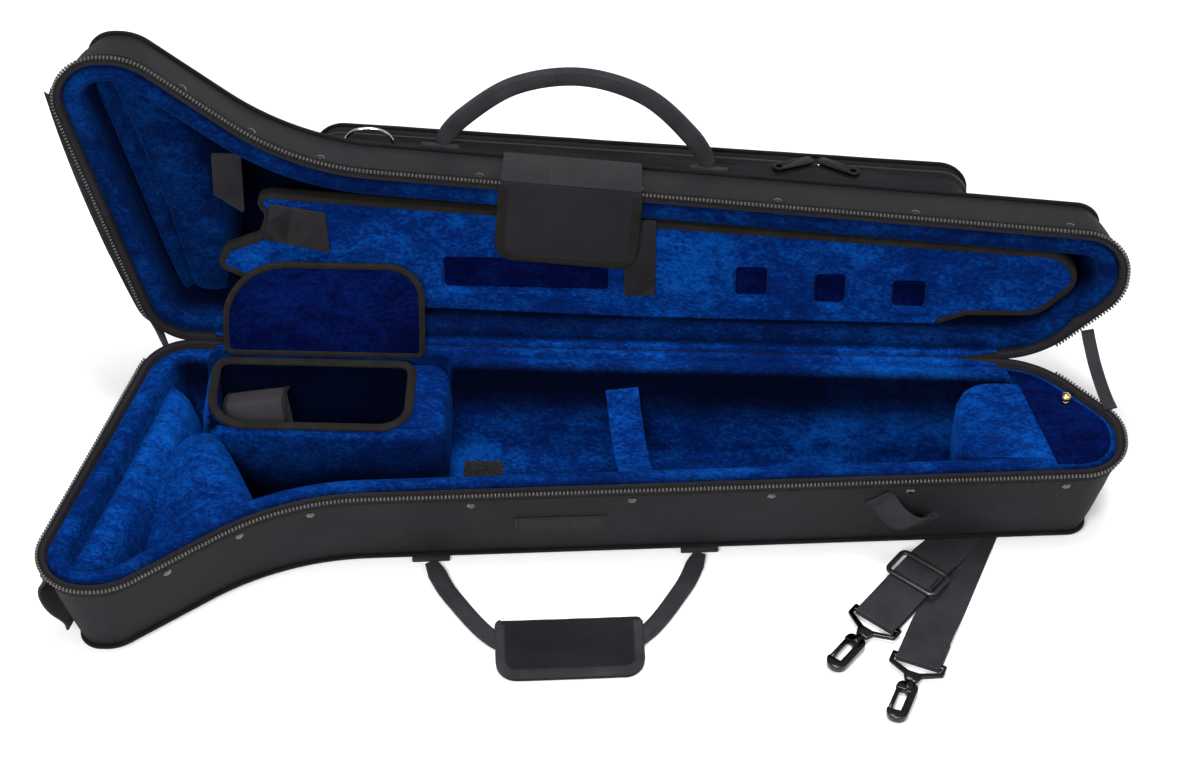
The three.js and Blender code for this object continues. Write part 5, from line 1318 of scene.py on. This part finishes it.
coverRows = [outlineRing(pocketCorners, pocketTop + 0.0003, 0.004, pocketShape["step"])]
coverRows += stackOf(pocketCorners, pocketTop, pocketShape["cover"], pocketShape["step"], 0.0004)
finishPiece(loft("pocketCover", coverRows), "pocket_cover", nylon, "pocket_cover", angle=60, place=openTurn)


def pocketLine(rise, stand, first=1, last=3):
    return outlineRun(pocketCorners, pocketFoot + rise, -stand, pocketShape["lineStep"], first, last)


tapeHalf = pocketShape["tapeHalf"]
for tag, rise in pocketShape["tapes"]:
    rows = [pocketLine(rise + up, 0.0010 + out)[0] for out, up in ((-0.0005, -tapeHalf), (0.0008, -tapeHalf),
                                                                   (0.0009, tapeHalf), (-0.0005, tapeHalf))]
    finishPiece(loft("pocketTape" + tag, turnedRows(rows)), "lid", zipTape, angle=60, place=openTurn)
zipTeeth("pocketZipTeeth", pocketLine(pocketShape["zip"], 0.0018)[0], 0.0018, pocketShape["tooth"], "lid", openTurn)
for tag, rise, stand, start in pocketShape["cords"]:
    line = pocketLine(rise, stand, start, 4.0 - start)[0]
    cord = sweep("pocketCord" + tag, line, oval(pocketShape["cord"], pocketShape["cord"], 8))
    finishPiece(cord, "lid", pipingTape, angle=60, place=openTurn)
for tag, rise in pocketShape["seams"]:
    line, outs = pocketLine(rise, 0.0022)
    stitches("pocketSeam" + tag, line, outs, "lid", **rimStitch, place=openTurn)
print("pocket made")

# grab loops: webbing folded over the end wall and slantwise over the front wall
grabShape = {
    "run": 0.072, "lift": 0.013, "width": 0.027, "thick": 0.0026, "bevel": 0.0008, "stand": 0.0017, "slant": 44,
    "share": (0, 0.14, 0.3, 0.5, 0.7, 0.86, 1), "rise": (0, 0, 0.75, 1, 0.75, 0, 0), "seams": (0.001, 0.007),
    "edge": 0.0112, "frontX": 0.191, "down": 0.0195, "endY": 0.046, "endRise": 0.52,
}


def grabLoop(name, place, body, node):
    # run along x, lifted off the wall along -y
    points = [(grabShape["run"] * (share - 0.5), -grabShape["stand"] - grabShape["lift"] * rise, 0)
              for share, rise in zip(grabShape["share"], grabShape["rise"])]
    path = smoothPath(points, 34)
    out = (place.to_3x3() @ Vector((0, -1, 0))).normalized()
    strap(name, path, grabShape["width"], grabShape["thick"], body, node, across=Vector((0, 0, 1)),
          bevel=grabShape["bevel"], place=place)
    for side, tag in ((-1, "L"), (1, "R")):
        for row in grabShape["seams"]:
            x = side * (grabShape["run"] / 2 - 0.002 - row)
            line = [place @ Vector((x, -0.0032, z * 0.001)) for z in range(-11, 12, 2)]
            stitches(name + "Seam" + tag + str(int(row * 1000)), line, out, body)
    for side, tag in ((-1, "L"), (1, "R")):
        line = [place @ Vector((p.x, p.y - 0.0014, side * grabShape["edge"])) for p in path[2:-2]]
        stitches(name + "Edge" + tag, line, out, body)


slant = radians(grabShape["slant"])
grabHigh = grabShape["run"] * sin(slant) + 0.026 * cos(slant)
grabPlace = frontFrame(baseHalf, rightEnd - grabShape["frontX"], baseHalf["depth"] - grabShape["down"] - grabHigh / 2)
grabLoop("frontGrabLoop", grabPlace @ Matrix.Rotation(slant, 4, "Y"), "case", "front_grab_loop")
endAlong = Vector((plan["slant"], plan["bellEnd"], 0)).normalized()
endUp = Vector((-endAlong.y * baseHalf["draft"], endAlong.x * baseHalf["draft"], baseHalf["depth"])).normalized()
loopRise, loopY = grabShape["endRise"] * baseHalf["depth"], hingeSide - plan["bellEnd"] + grabShape["endY"]
endDraft = draftAt(baseHalf, loopRise)
endOrigin = Vector((wallAt(loopY) + endAlong.y * endDraft, loopY - endAlong.x * endDraft, loopRise))
endPlace = axesMatrix(-endAlong, endAlong.cross(endUp), endUp, endOrigin)
grabLoop("endGrabLoop", endPlace @ Matrix.Rotation(radians(90), 4, "Y"), "case", "end_grab_loop")
print("grab loops made")

# carrying handles: a padded arch of webbing with flat ends, on tabs at the shell's edge
handleShape = {"thick": 0.0036, "gap": 0.0003, "tab": 0.008, "ends": (-0.135, 0.106), "flat": 0.0017, "wide": 0.0084,
               "taper": 0.14, "seam": 0.0052, "sunk": 0.93,
               "arch": ((0, 0), (0.08, 0.36), (0.26, 0.82), (0.5, 1), (0.74, 0.82), (0.92, 0.36), (1, 0))}
handleMiddle = sum(handleShape["ends"]) / 2
handleSpan = (handleShape["ends"][1] - handleShape["ends"][0]) / frontAlong.x


def handleFrame(half, rise):
    upper = rise + 0.002
    stand = 0.0003 + handleShape["tab"] + handleShape["gap"] + handleShape["thick"] / 2 - edgeInset(upper)
    origin = frontPoint(half, handleMiddle, upper, stand)
    origin.z = heightOf(half, rise)
    return axesMatrix((*frontAlong, 0), (-frontAlong.y, frontAlong.x, 0), (0, 0, 1), origin)


def handleOf(name, node, half, place, reach, flat, thick):
    path = smoothPath([(handleSpan * (share - 0.5), -reach * min(rise, flat) / flat, 0)
                       for share, rise in handleShape["arch"]], 49)
    count = len(path)
    bits = []  # point, direction across, half thickness, half width
    for i, point in enumerate(path):
        before, after = neighbours(path, i)
        ahead = (after - before).normalized()
        share = min(i, count - 1 - i) / (count - 1)
        full = min(1.0, share / handleShape["taper"])
        high = handleShape["flat"] + (thick - handleShape["flat"]) * sin(full * pi / 2) ** 1.5
        wide = handleShape["wide"] * min(1.0, 0.66 + share * 9) * (1.04 - 0.06 * full)
        bits.append((point, Vector((-ahead.y, ahead.x, 0)), high, wide))
    piece = loft(name, [[point + side * a * wide + Vector((0, 0, 1)) * b * high for a, b in oval(1.0, 1.0, 20, 0.55)]
                        for point, side, high, wide in bits])
    piece.data.transform(place)
    finishPiece(piece, node, webbing, node, angle=60, place=half["turn"])
    outer = half["way"]
    out = (place.to_3x3() @ Vector((0, 0, outer))).normalized()
    for tag, way in (("SeamIn", -1), ("SeamOut", 1)):
        line = [place @ (point + side * way * handleShape["seam"] + Vector((0, 0, outer * high * handleShape["sunk"])))
                for point, side, high, wide in bits[3:-3]]
        stitches(name + tag, line, out, node, place=half["turn"])


basePlace = handleFrame(baseHalf, 0.0041)
handleOf("baseHandle", "base_handle", baseHalf, basePlace, 0.096, 0.82, 0.0025)
handleOf("lidHandle", "lid_handle", lidHalf, handleFrame(lidHalf, 0.0035), 0.080, 1.0, 0.0052)
for half in (baseHalf, lidHalf):
    for side in ("left", "right"):
        name = half["tag"].title() + "HandleAnchor" + side.title()
        cadCopy(name, half["tag"] + "_handle_anchor_" + side, half["body"], webbing, 0.0011)

# the wrap round the base handle: a padded nylon sleeve with bound ends and rounded lower corners
gripShape = {
    "long": 0.130, "deep": 0.064, "corner": 0.018, "back": 0.024, "reach": 0.096,
    "rows": ((0.0002, 0.012), (0.0, 0.003), (0.0008, 0.0008), (0.0025, 0.0), (0.0055, 0.0), (0.0075, 0.0008),
             (0.0084, 0.0030), (0.0080, 0.0085), (0.0082, 0.0105), (0.0092, 0.016), (0.0098, 0.024)),
    "hem": (0.0070, 0.0042), "hemSize": (0.0047, 0.0020), "seam": (0.0086, 0.0078), "step": 0.004,
}
gripHalf, gripDeep = gripShape["long"] / 2, gripShape["deep"]
gripCorners = [(-gripHalf, 0, 0.005, 4), (-gripHalf, -gripDeep, gripShape["corner"], 8),
               (gripHalf, -gripDeep, gripShape["corner"], 8), (gripHalf, 0, 0.005, 4)]
gripLow = -handleShape["thick"] / 2 - 0.0015
gripOut = gripShape["back"] - gripShape["reach"]
gripRows = [[point + Vector((0, gripOut, 0.0004 * noise.noise(point * 60))) for point in ring]
            for ring in stackOf(gripCorners, gripLow, gripShape["rows"], 0.006)]
grip = loft("baseHandleGrip", gripRows)
finishPiece(grip, "base_handle", nylon, "base_handle_grip", angle=60, place=basePlace)
gripPlace = basePlace @ Matrix.Translation((0, gripOut, 0))
rise, inset = gripShape["hem"]
hem = sweep("gripHem", outlineRun(gripCorners, gripLow + rise, inset, gripShape["step"], 0, 3)[0],
            oval(*gripShape["hemSize"], 10, 0.6))
finishPiece(hem, "base_handle", webbing, angle=60, place=gripPlace)
rise, inset = gripShape["seam"]
hemSeam = outlineRun(gripCorners, gripLow + rise, inset, gripShape["step"], 0, 3)[0]
stitches("gripSeam", [gripPlace @ point for point in hemSeam], Vector((0, 0, 1)), "base_handle")
print("handles made")

# shoulder strap: two lengths that cross under the case, folded in a hank behind it
strapShape = {"width": 0.040, "thick": 0.002, "bar": 0.0065, "barThick": 0.003, "barWide": 0.0045, "seat": 0.0003,
              "clear": 0.0004, "turn": 0.010, "bevel": 0.0006, "proud": 0.0011,
              "foldLong": 0.188, "foldTurn": 0.0011, "foldPlace": (0.424, 0.110), "foldBevel": 0.0005}
curl = strapShape["barThick"] / 2 + strapShape["clear"] + strapShape["thick"] / 2
curlReach = strapShape["barWide"] / 2 + strapShape["clear"] + strapShape["thick"] / 2
lowerLayer, upperLayer = strapShape["bar"] - curl, strapShape["bar"] + curl
layerPitch = strapShape["thick"] + strapShape["seat"]
levelB = strapShape["seat"] + strapShape["thick"] / 2
levelA = levelB + layerPitch
stackTop = levelB + layerPitch * 3


def barLoop(tail):
    # from the sewn tail, under the frame's bar, round it and out above it
    return [(tail, lowerLayer), (-curlReach * 0.78, lowerLayer), (-curlReach, lowerLayer + curl * 0.33),
            (-curlReach, upperLayer - curl * 0.33), (-curlReach * 0.78, upperLayer)]


strapLengths = {
    "A": {"end": (0.262, -0.118), "heading": atan2(0.8, 0.6), "nodes": ("shoulder_strap",), "seams": (),
          "line": barLoop(0.058) + [(0.082, upperLayer), (0.106, levelA), (0.242, levelA), (0.270, stackTop),
                                    (0.290, stackTop)]},
    "B": {"end": (0.2975, -0.163), "heading": atan2(0.938, 0.346), "nodes": (), "seams": (0.024, 0.020),
          "line": barLoop(0.028) + [(0.036, upperLayer), (0.066, levelB), (0.296, levelB)]},
}
for tag, length in strapLengths.items():
    length["place"] = Matrix.Translation((*length["end"], 0)) @ Matrix.Rotation(length["heading"], 4, "Z")
    strap("strapLength" + tag, roundedPath([(x, 0, z) for x, z in length["line"]], strapShape["turn"]),
          strapShape["width"], strapShape["thick"], "case", *length["nodes"], across=Vector((0, 1, 0)),
          bevel=strapShape["bevel"], place=length["place"])
    for x in length["seams"]:
        line = [length["place"] @ Vector((x, y * 0.001, upperLayer + strapShape["proud"])) for y in range(-18, 19, 4)]
        stitches("strapSeam" + tag + str(int(x * 1000)), line, Vector((0, 0, 1)), "case")
foldPoints, foldLong = [], strapShape["foldLong"]
for k in range(4):
    for x in (0, foldLong) if k % 2 else (foldLong, 0):
        foldPoints.append((x, 0, levelB + layerPitch * k))
foldX, foldY = strapShape["foldPlace"]
strap("strapFolds", roundedPath(foldPoints, strapShape["foldTurn"]), strapShape["width"], strapShape["thick"], "case",
      across=Vector((0, 1, 0)), bevel=strapShape["foldBevel"], place=Matrix.Translation((foldX - foldLong, foldY, 0)))

# fittings: a bar frame, a swivelling hook with its collar and cheek, and a sprung gate on each end
fittingShape = {
    "collar": {"vertices": 24, "radius": 0.0052, "depth": 0.0085, "location": (0.0305, 0, 0),
               "rotation": (0, pi / 2, 0)},
    "cheek": {"size": 1, "location": (0.0486, 0.0038, 0.0002), "scale": (0.0235, 0.0026, 0.0068)}, "round": 0.0018,
}
for tag, length in strapLengths.items():
    end, body = "_" + tag.lower(), "hook_" + tag.lower()
    cadCopy("strapFrame" + tag, "strap_frame" + end, "case", gunMetal, 0.0011, 4, fuller=0.0007)
    cadCopy("hookGate" + tag, "hook_gate" + end, "gate" + end, gunMetal, 0.0006, 2)
    cadCopy("snapHook" + tag, "snap_hook" + end, body, gunMetal, 0.0014, fuller=0.0008)
    hookPlace = (Matrix.Translation((*length["end"], strapShape["bar"]))
                 @ Matrix.Rotation(length["heading"] + pi, 4, "Z"))
    for name, addPrimitive, shape in (("hookCollar", bpy.ops.mesh.primitive_cylinder_add, fittingShape["collar"]),
                                      ("hookCheek", bpy.ops.mesh.primitive_cube_add, fittingShape["cheek"])):
        piece = startShape(addPrimitive, name + tag, **shape)
        bevelEdges(piece, fittingShape["round"], 4, 40)
        finishPiece(piece, body, gunMetal, angle=50, place=hookPlace)

# strap adjuster: a rounded frame over the webbing, which rises through it in a hump
adjusterShape = {"place": 0.062, "half": (0.0135, 0.0245), "corner": 0.005, "high": 0.0122, "bar": (0.0024, 0.0017),
                 "hump": (0.0105, 0.0185, 0.0140)}
adjusterPlace = strapLengths["A"]["place"] @ Matrix.Translation((adjusterShape["place"], 0, 0))
halfLong, halfWide = adjusterShape["half"]
adjusterRing = outlineRing(rectangle(-halfLong, halfLong, -halfWide, halfWide, adjusterShape["corner"], 6),
                           adjusterShape["high"], 0.0, 0.004)
adjuster = sweep("strapAdjuster", adjusterRing, oval(*adjusterShape["bar"], 12, 0.8), True)
finishPiece(adjuster, "strap_adjuster", darkPlastic, "strap_adjuster", angle=60, place=adjusterPlace)
humpLong, humpWide, humpTop = adjusterShape["hump"]
humpFoot = upperLayer + strapShape["proud"]
humpRows = []
for k in range(13):
    x = humpLong * (2 * k / 12 - 1)
    top = humpFoot + (humpTop - humpFoot) * cos(x / humpLong * pi / 2) ** 0.7
    humpRows.append([(x, -humpWide, humpFoot), (x, 0.0006 - humpWide, top), (x, 0, top + 0.0003),
                     (x, humpWide - 0.0006, top), (x, humpWide, humpFoot)])
hump = loft("adjusterHump", humpRows, False, "open")
finishPiece(hump, "strap_adjuster", webbing, angle=60, place=adjusterPlace)
print("shoulder strap made")

# mouthpiece pouch: soft nylon with bound seams and a rounded flap
pouchShape = {
    "x": (-0.313, -0.259), "y": (0.006, 0.032), "bottom": 0.0209, "top": 0.091, "wall": 0.002, "corner": 0.010,
    "lean": -28, "turn": 20, "lumps": 0.0012, "endLumps": 0.0003,
    "rows": ((0.0, 0.006), (0.004, 0.0015), (0.012, 0.0), (0.028, -0.0008), (0.048, -0.0006), (0.063, 0.0),
             (0.0696, 0.0), (0.0701, 0.0006), (0.0701, 0.0016), (0.0695, 0.0021), (0.014, 0.0021), (0.003, 0.008)),
    "flapHalf": 0.0268, "flapTip": 0.024, "flapThick": 0.0019, "binding": (0.0022, 0.0016), "seamIn": 0.13,
}
pouchTop, (pouchFront, pouchBack) = pouchShape["top"], pouchShape["y"]
pouchFoot = Vector((pouchShape["x"][0], pouchBack, pouchShape["bottom"]))
leanAngle = radians(pouchShape["turn"])
pouchTurn = turnAbout(pouchFoot, pouchShape["lean"], Vector((cos(leanAngle), sin(leanAngle), 0)))
pouchCorners = rectangle(*pouchShape["x"], *pouchShape["y"], pouchShape["corner"], 5)
pouchRows = [outlineRing(pouchCorners, pouchShape["bottom"] + rise, inset, 5,
                         pouchShape["lumps"] if 0.005 < rise < 0.06 else pouchShape["endLumps"])
             for rise, inset in pouchShape["rows"]]
finishPiece(loft("mouthpiecePouch", pouchRows), "mouthpiece_pouch", pouchNylon, "mouthpiece_pouch", angle=60,
            place=pouchTurn)
flapTop = pouchTop + 0.0003 + pouchShape["wall"]
flapPath = smoothPath([
    (0, pouchBack - pouchShape["wall"], flapTop - 0.001), (0, (pouchFront + pouchBack) / 2, flapTop + 0.0006),
    (0, pouchFront - 0.001, flapTop - 0.001), (0, pouchFront - 0.0046, flapTop - 0.0052),
    (0, pouchFront - 0.0052, pouchTop - 0.016), (0, pouchFront - 0.0048, pouchTop - 0.038),
], 34)
middleX = sum(pouchShape["x"]) / 2
flapRows = []
for point in flapPath:
    tip = (pouchShape["flapTip"] - (point.z - flapPath[-1].z)) / pouchShape["flapTip"]
    down = max(0.0, tip) if point.y < pouchFront else 0.0
    half = pouchShape["flapHalf"] * sqrt(max(0.02, 1 - 0.80 * down ** 2.4))
    flapRows.append([Vector((middleX + half * k / 6, point.y + 0.0008 * cos(k / 6 * pi / 2), point.z))
                     for k in range(-6, 7)])


def borderOf(rows):
    # down one side of the rows, along the last one and back up the other side
    return [row[0] for row in rows] + rows[-1][1:] + [row[-1] for row in reversed(rows[:-1])]


edgePath = borderOf(flapRows)
seamPath = borderOf([[point.lerp(row[6], pouchShape["seamIn"]) for point in row] for row in flapRows[:-2]])
pouchFlap = loft("pouchFlap", flapRows, False, "open")
thicken(pouchFlap, pouchShape["flapThick"], 0.0006)
finishPiece(pouchFlap, "pouch_flap", pouchNylon, "pouch_flap", angle=60, place=pouchTurn)
edgeUps = [Vector((0, -0.25, 1)).normalized() if point.z > pouchTop - 0.003 else Vector((0, -1, 0))
           for point in edgePath]
flapEdging = sweep("pouchFlapBinding", edgePath, oval(*pouchShape["binding"], 8, 0.8), up=edgeUps)
finishPiece(flapEdging, "pouch_flap", bindingTape, angle=60, place=pouchTurn)
seamLine = [pouchTurn @ (point + Vector((0, -0.0014, 0))) for point in seamPath if point.z < pouchTop - 0.008]
stitches("pouchFlapSeamA", seamLine, (pouchTurn.to_3x3() @ Vector((0, -1, 0))).normalized(), "pouch_flap",
         spacing=0.0026, long=0.0018)
print("pouch made")

# closing flap: bound nylon sewn to the lid's front wall and hanging inside the open lid
flapShape = {
    "middle": -0.016, "width": 0.124, "length": 0.085, "thick": 0.0017, "corner": 0.016, "stand": 0.0032,
    "root": 0.0050, "rootRises": (0.012, 0.0894), "rootThick": 0.0016, "bevel": 0.0005, "hingeRise": 0.0905, "fold": 96,
    "hem": (0.0046, 0.0016), "hemIn": 0.0032, "seamIn": 0.0066, "seamOut": 0.0015, "edge": (0.004, 0.99, 3.01),
}
flapHalf, flapMiddle = flapShape["width"] / 2, flapShape["middle"]
quarterTurn = Matrix.Rotation(radians(90), 4, "X")
wallTop, wallFoot = [frontPoint(lidHalf, flapMiddle, rise, flapShape["root"]) for rise in flapShape["rootRises"]]
rootLong = (wallTop - wallFoot).length
rootCorners = [(-flapHalf, rootLong, 0.003, 3), (-flapHalf, 0, 0.001, 1), (flapHalf, 0, 0.001, 1),
               (flapHalf, rootLong, 0.003, 3)]
flapRoot = board("flapRoot", rootCorners, 0.0, flapShape["rootThick"], flapShape["bevel"], 0.008)
rootFrame = frontFrame(lidHalf, flapMiddle, flapShape["rootRises"][1], flapShape["root"])
finishPiece(flapRoot, "lid", nylon, "flap_root", place=openTurn @ rootFrame @ quarterTurn)
flapHinge = frontPoint(lidHalf, flapMiddle, flapShape["hingeRise"], flapShape["stand"] + 0.0015)
flapBase = axesMatrix((*frontAlong, 0), (-frontAlong.y, frontAlong.x, 0), (0, 0, 1), flapHinge)
flapTurn = openTurn @ turnAbout(flapHinge, flapShape["fold"], Vector((*frontAlong, 0))) @ flapBase @ quarterTurn
flapCorners = [(-flapHalf, 0.0008, 0.0008, 1), (-flapHalf, -flapShape["length"], flapShape["corner"], 8),
               (flapHalf, -flapShape["length"], flapShape["corner"], 8), (flapHalf, 0.0008, 0.0008, 1)]
closingFlap = board("closingFlap", flapCorners, -flapShape["thick"] / 2, flapShape["thick"], flapShape["bevel"])
finishPiece(closingFlap, "closing_flap", nylon, "closing_flap", place=flapTurn)
flapHem = sweep("closingFlapHem", outlineRun(flapCorners, 0, flapShape["hemIn"], *flapShape["edge"])[0],
                oval(*flapShape["hem"], 12, 0.6))
finishPiece(flapHem, "closing_flap", bindingTape, angle=60, place=flapTurn)
for tag, side in (("In", -1), ("Out", 1)):
    seamLine = outlineRun(flapCorners, side * flapShape["seamOut"], flapShape["seamIn"], *flapShape["edge"])[0]
    stitches("closingFlapSeam" + tag, [flapTurn @ point for point in seamLine],
             (flapTurn.to_3x3() @ Vector((0, 0, side))).normalized(), "closing_flap")

# zipper sliders, pulls and the D-ring with its tab
for tag in ("left", "right"):
    cadCopy("pocketSlider" + tag.title(), "pocket_slider_" + tag, "pocket_slider_" + tag, chrome, 0.0011)
    cadCopy("pocketPull" + tag.title(), "pocket_pull_" + tag, "pocket_pull_" + tag, gunMetal, 0.0006)
ring = cadCopy("dRing", "d_ring", "d_ring", chrome)
applyModifier(ring, "SUBSURF", levels=1, render_levels=1)
cadCopy("dRingTab", "d_ring_tab", "lid", webbing, 0.0009)

# cloth hinge along the back, and the strips of plush that hide it from inside
hingeShape = {
    "line": ((0.0931, 0.109), (0.0954, 0.1186), (0.0967, 0.1197), (0.1066, 0.1202)), "x": (-0.335, 0.697),
    "thick": 0.0009, "start": (0, 0.0954, 0.1180), "end": (0, 0.0975, 0.1200),
    "strip": ((0.0946, 0.0002), (0.0912, 0.0002), (0.0903, 0.00068), (0.0896, 0.00168), (0.0892, 0.00348),
              (0.0880, 0.00568)),
    "stripX": (-0.338, 0.706), "stripRoot": 0.0880, "stripThick": 0.0002, "middle": 0.1204,
}


def bridgeJoint(piece, material, node):
    dress(piece, material, 50)
    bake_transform(piece)
    standFor(piece, material, node)


clothLine = roundedPath([(0, y, z) for y, z in hingeShape["line"]], 0.0008, 4)
clothStart, clothLong = hingeShape["x"]
hingeCloth = loft("hingeCloth", [[(clothStart + clothLong * k / 40, p.y, p.z) for k in range(41)] for p in clothLine],
                  False, "open")
thicken(hingeCloth, hingeShape["thick"], 0.0002, 1)
bridgeJoint(hingeCloth, nylon, "hinge_fabric")
stripStart, stripLong = hingeShape["stripX"]
for half in (baseHalf, lidHalf):
    rows = []
    for y, down in hingeShape["strip"]:
        out, z = y - hingeShape["stripRoot"], hingeShape["middle"] - half["way"] * down
        rows.append([(stripStart + stripLong * k / 60,
                      hingeShape["stripRoot"] + out * min(1, 0.05 + min(k, 60 - k) / 3), z) for k in range(61)])
    rimStrip = loft(half["tag"] + "HingeStrip", rows, False, "open")
    thicken(rimStrip, hingeShape["stripThick"])
    plainMap(rimStrip)
    finishPiece(rimStrip, half["body"], plush, angle=60, place=half["turn"])

# stays: the left one lies against the lid's end wall, the right one spans the gap
stayShape = {
    "lidDown": 0.009, "lidRun": (0.0040, 0.55, 1.36), "baseDown": 0.006, "baseRun": (0.0042, 0.42, 0.56), "bow": 0.0065,
    "lean": (1.3, 0.2), "half": 0.0055, "thick": 0.0016,
    "right": ((0, 0.00105), (0.25, 0.00205), (0.6, 0.010), (0.85, 0.021), (1, 0.030)), "rightWide": 0.012,
    "rightThick": 0.0018, "rightStart": (rightEnd - 0.0105, 0.0365), "rightEnd": (rightEnd - 0.028, 0.105),
}
lidPath = [openTurn @ point
           for point in rimLine(lidHalf, lidHalf["depth"] - stayShape["lidDown"], *stayShape["lidRun"])[0]]
basePoint = rimLine(baseHalf, baseHalf["depth"] - stayShape["baseDown"], *stayShape["baseRun"])[0][0]
stayPath = smoothPath([basePoint] + lidPath[1:], 44)
lidUp = (openTurn.to_3x3() @ Vector((0, 0, 1))).normalized()
leanX, leanZ = stayShape["lean"]
stayRows = []
for k, point in enumerate(stayPath):
    bow = sin(pi * k / (len(stayPath) - 1))
    across = (lidUp + Vector((leanX * bow, 0, leanZ * bow))).normalized()
    middle = point + Vector((-stayShape["bow"], 0, 0)) * bow
    stayRows.append([middle + across * stayShape["half"] * share for share in (-1, -0.33, 0.33, 1)])
stayLeft = loft("stayLeft", stayRows, False, "open")
thicken(stayLeft, stayShape["thick"], 0.0005)
bridgeJoint(stayLeft, webbing, "stay_left")

rim = [sample[0] for sample in rimSamples(-0.0022)]
startX, startY = min(rim, key=lambda point: (point - Vector(stayShape["rightStart"])).length)
endX, endY = stayShape["rightEnd"]
stayPath = smoothPath([(startX + (endX - startX) * share, startY + (endY - startY) * share, baseHalf["depth"] + rise)
                       for share, rise in stayShape["right"]], 36)
stayAcross = Vector((startY - endY, endX - startX, 0)).normalized()
stayRight = loft("stayRight", bandRows(stayPath, stayAcross, stayShape["rightWide"]), False, "open")
thicken(stayRight, stayShape["rightThick"], 0.0005)
bridgeJoint(stayRight, webbing, "stay_right")
print("flap, hardware and stays made")

# floor and soft studio light
studio = {"floor": (0.86, 0.86, 0.87), "floorLight": (0.88, 0.88, 0.89), "lift": 0.2, "world": 0.2, "glossy": 0.55}
lamps = (
    ("key", (-0.6, -2.1, 2.2), (0, 0, 0.1), (1.1, 0.9), 84),
    ("fill", (1.8, -1.4, 1.9), (0.1, 0, 0.1), (1.2, 1.2), 16),
    ("top", (0.15, 0.1, 2.9), (0, 0, 0.1), (1.6, 0.7), 80),
)
floor = startShape(bpy.ops.mesh.primitive_plane_add, "floor", size=12, location=(0, 0, -0.0002))
floor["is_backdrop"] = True
floorMaterial, tree, floorShader = newMaterial("paleFloor", Roughness=0.9)
speckle = noiseOf(tree, objectCoordinates(tree), 30, 2)
plugIn(tree, floorShader, Base_Color=rampOf(tree, speckle, (0.2, studio["floor"]), (0.8, studio["floorLight"])))
seenBy = addNode(tree, "LightPath").outputs
seen = calc(tree, "MAXIMUM", seenBy["Is Camera Ray"], seenBy["Is Glossy Ray"])
glow = addNode(tree, "Emission", {"Color": (1, 1, 1, 1), "Strength": calc(tree, "MULTIPLY", seen, studio["lift"])})
both = addNode(tree, "AddShader", {0: floorShader.outputs[0], 1: glow.outputs[0]})
tree.links.new(both.outputs[0], tree.nodes["Material Output"].inputs["Surface"])
floor.data.materials.append(floorMaterial)

world = bpy.data.worlds.new("studio")
bpy.context.scene.world = world
world.use_nodes = True
tree = world.node_tree
background, seenBy = tree.nodes["Background"], addNode(tree, "LightPath").outputs
mirrored = eitherOf(tree, seenBy["Is Glossy Ray"], studio["world"], studio["glossy"])
tree.links.new(eitherOf(tree, seenBy["Is Camera Ray"], mirrored, 1.0), background.inputs["Strength"])
background.inputs["Color"].default_value = (1, 1, 1, 1)
for name, place, aim, size, power in lamps:
    bpy.ops.object.light_add(type="AREA", location=place)
    lamp = bpy.context.object
    lamp.name = name
    lamp.data.shape = "RECTANGLE"
    lamp.data.size, lamp.data.size_y = size
    lamp.data.energy = power
    lamp.rotation_euler = (Vector(aim) - Vector(place)).to_track_quat("-Z", "Y").to_euler()
print("stage and light set")

low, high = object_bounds()
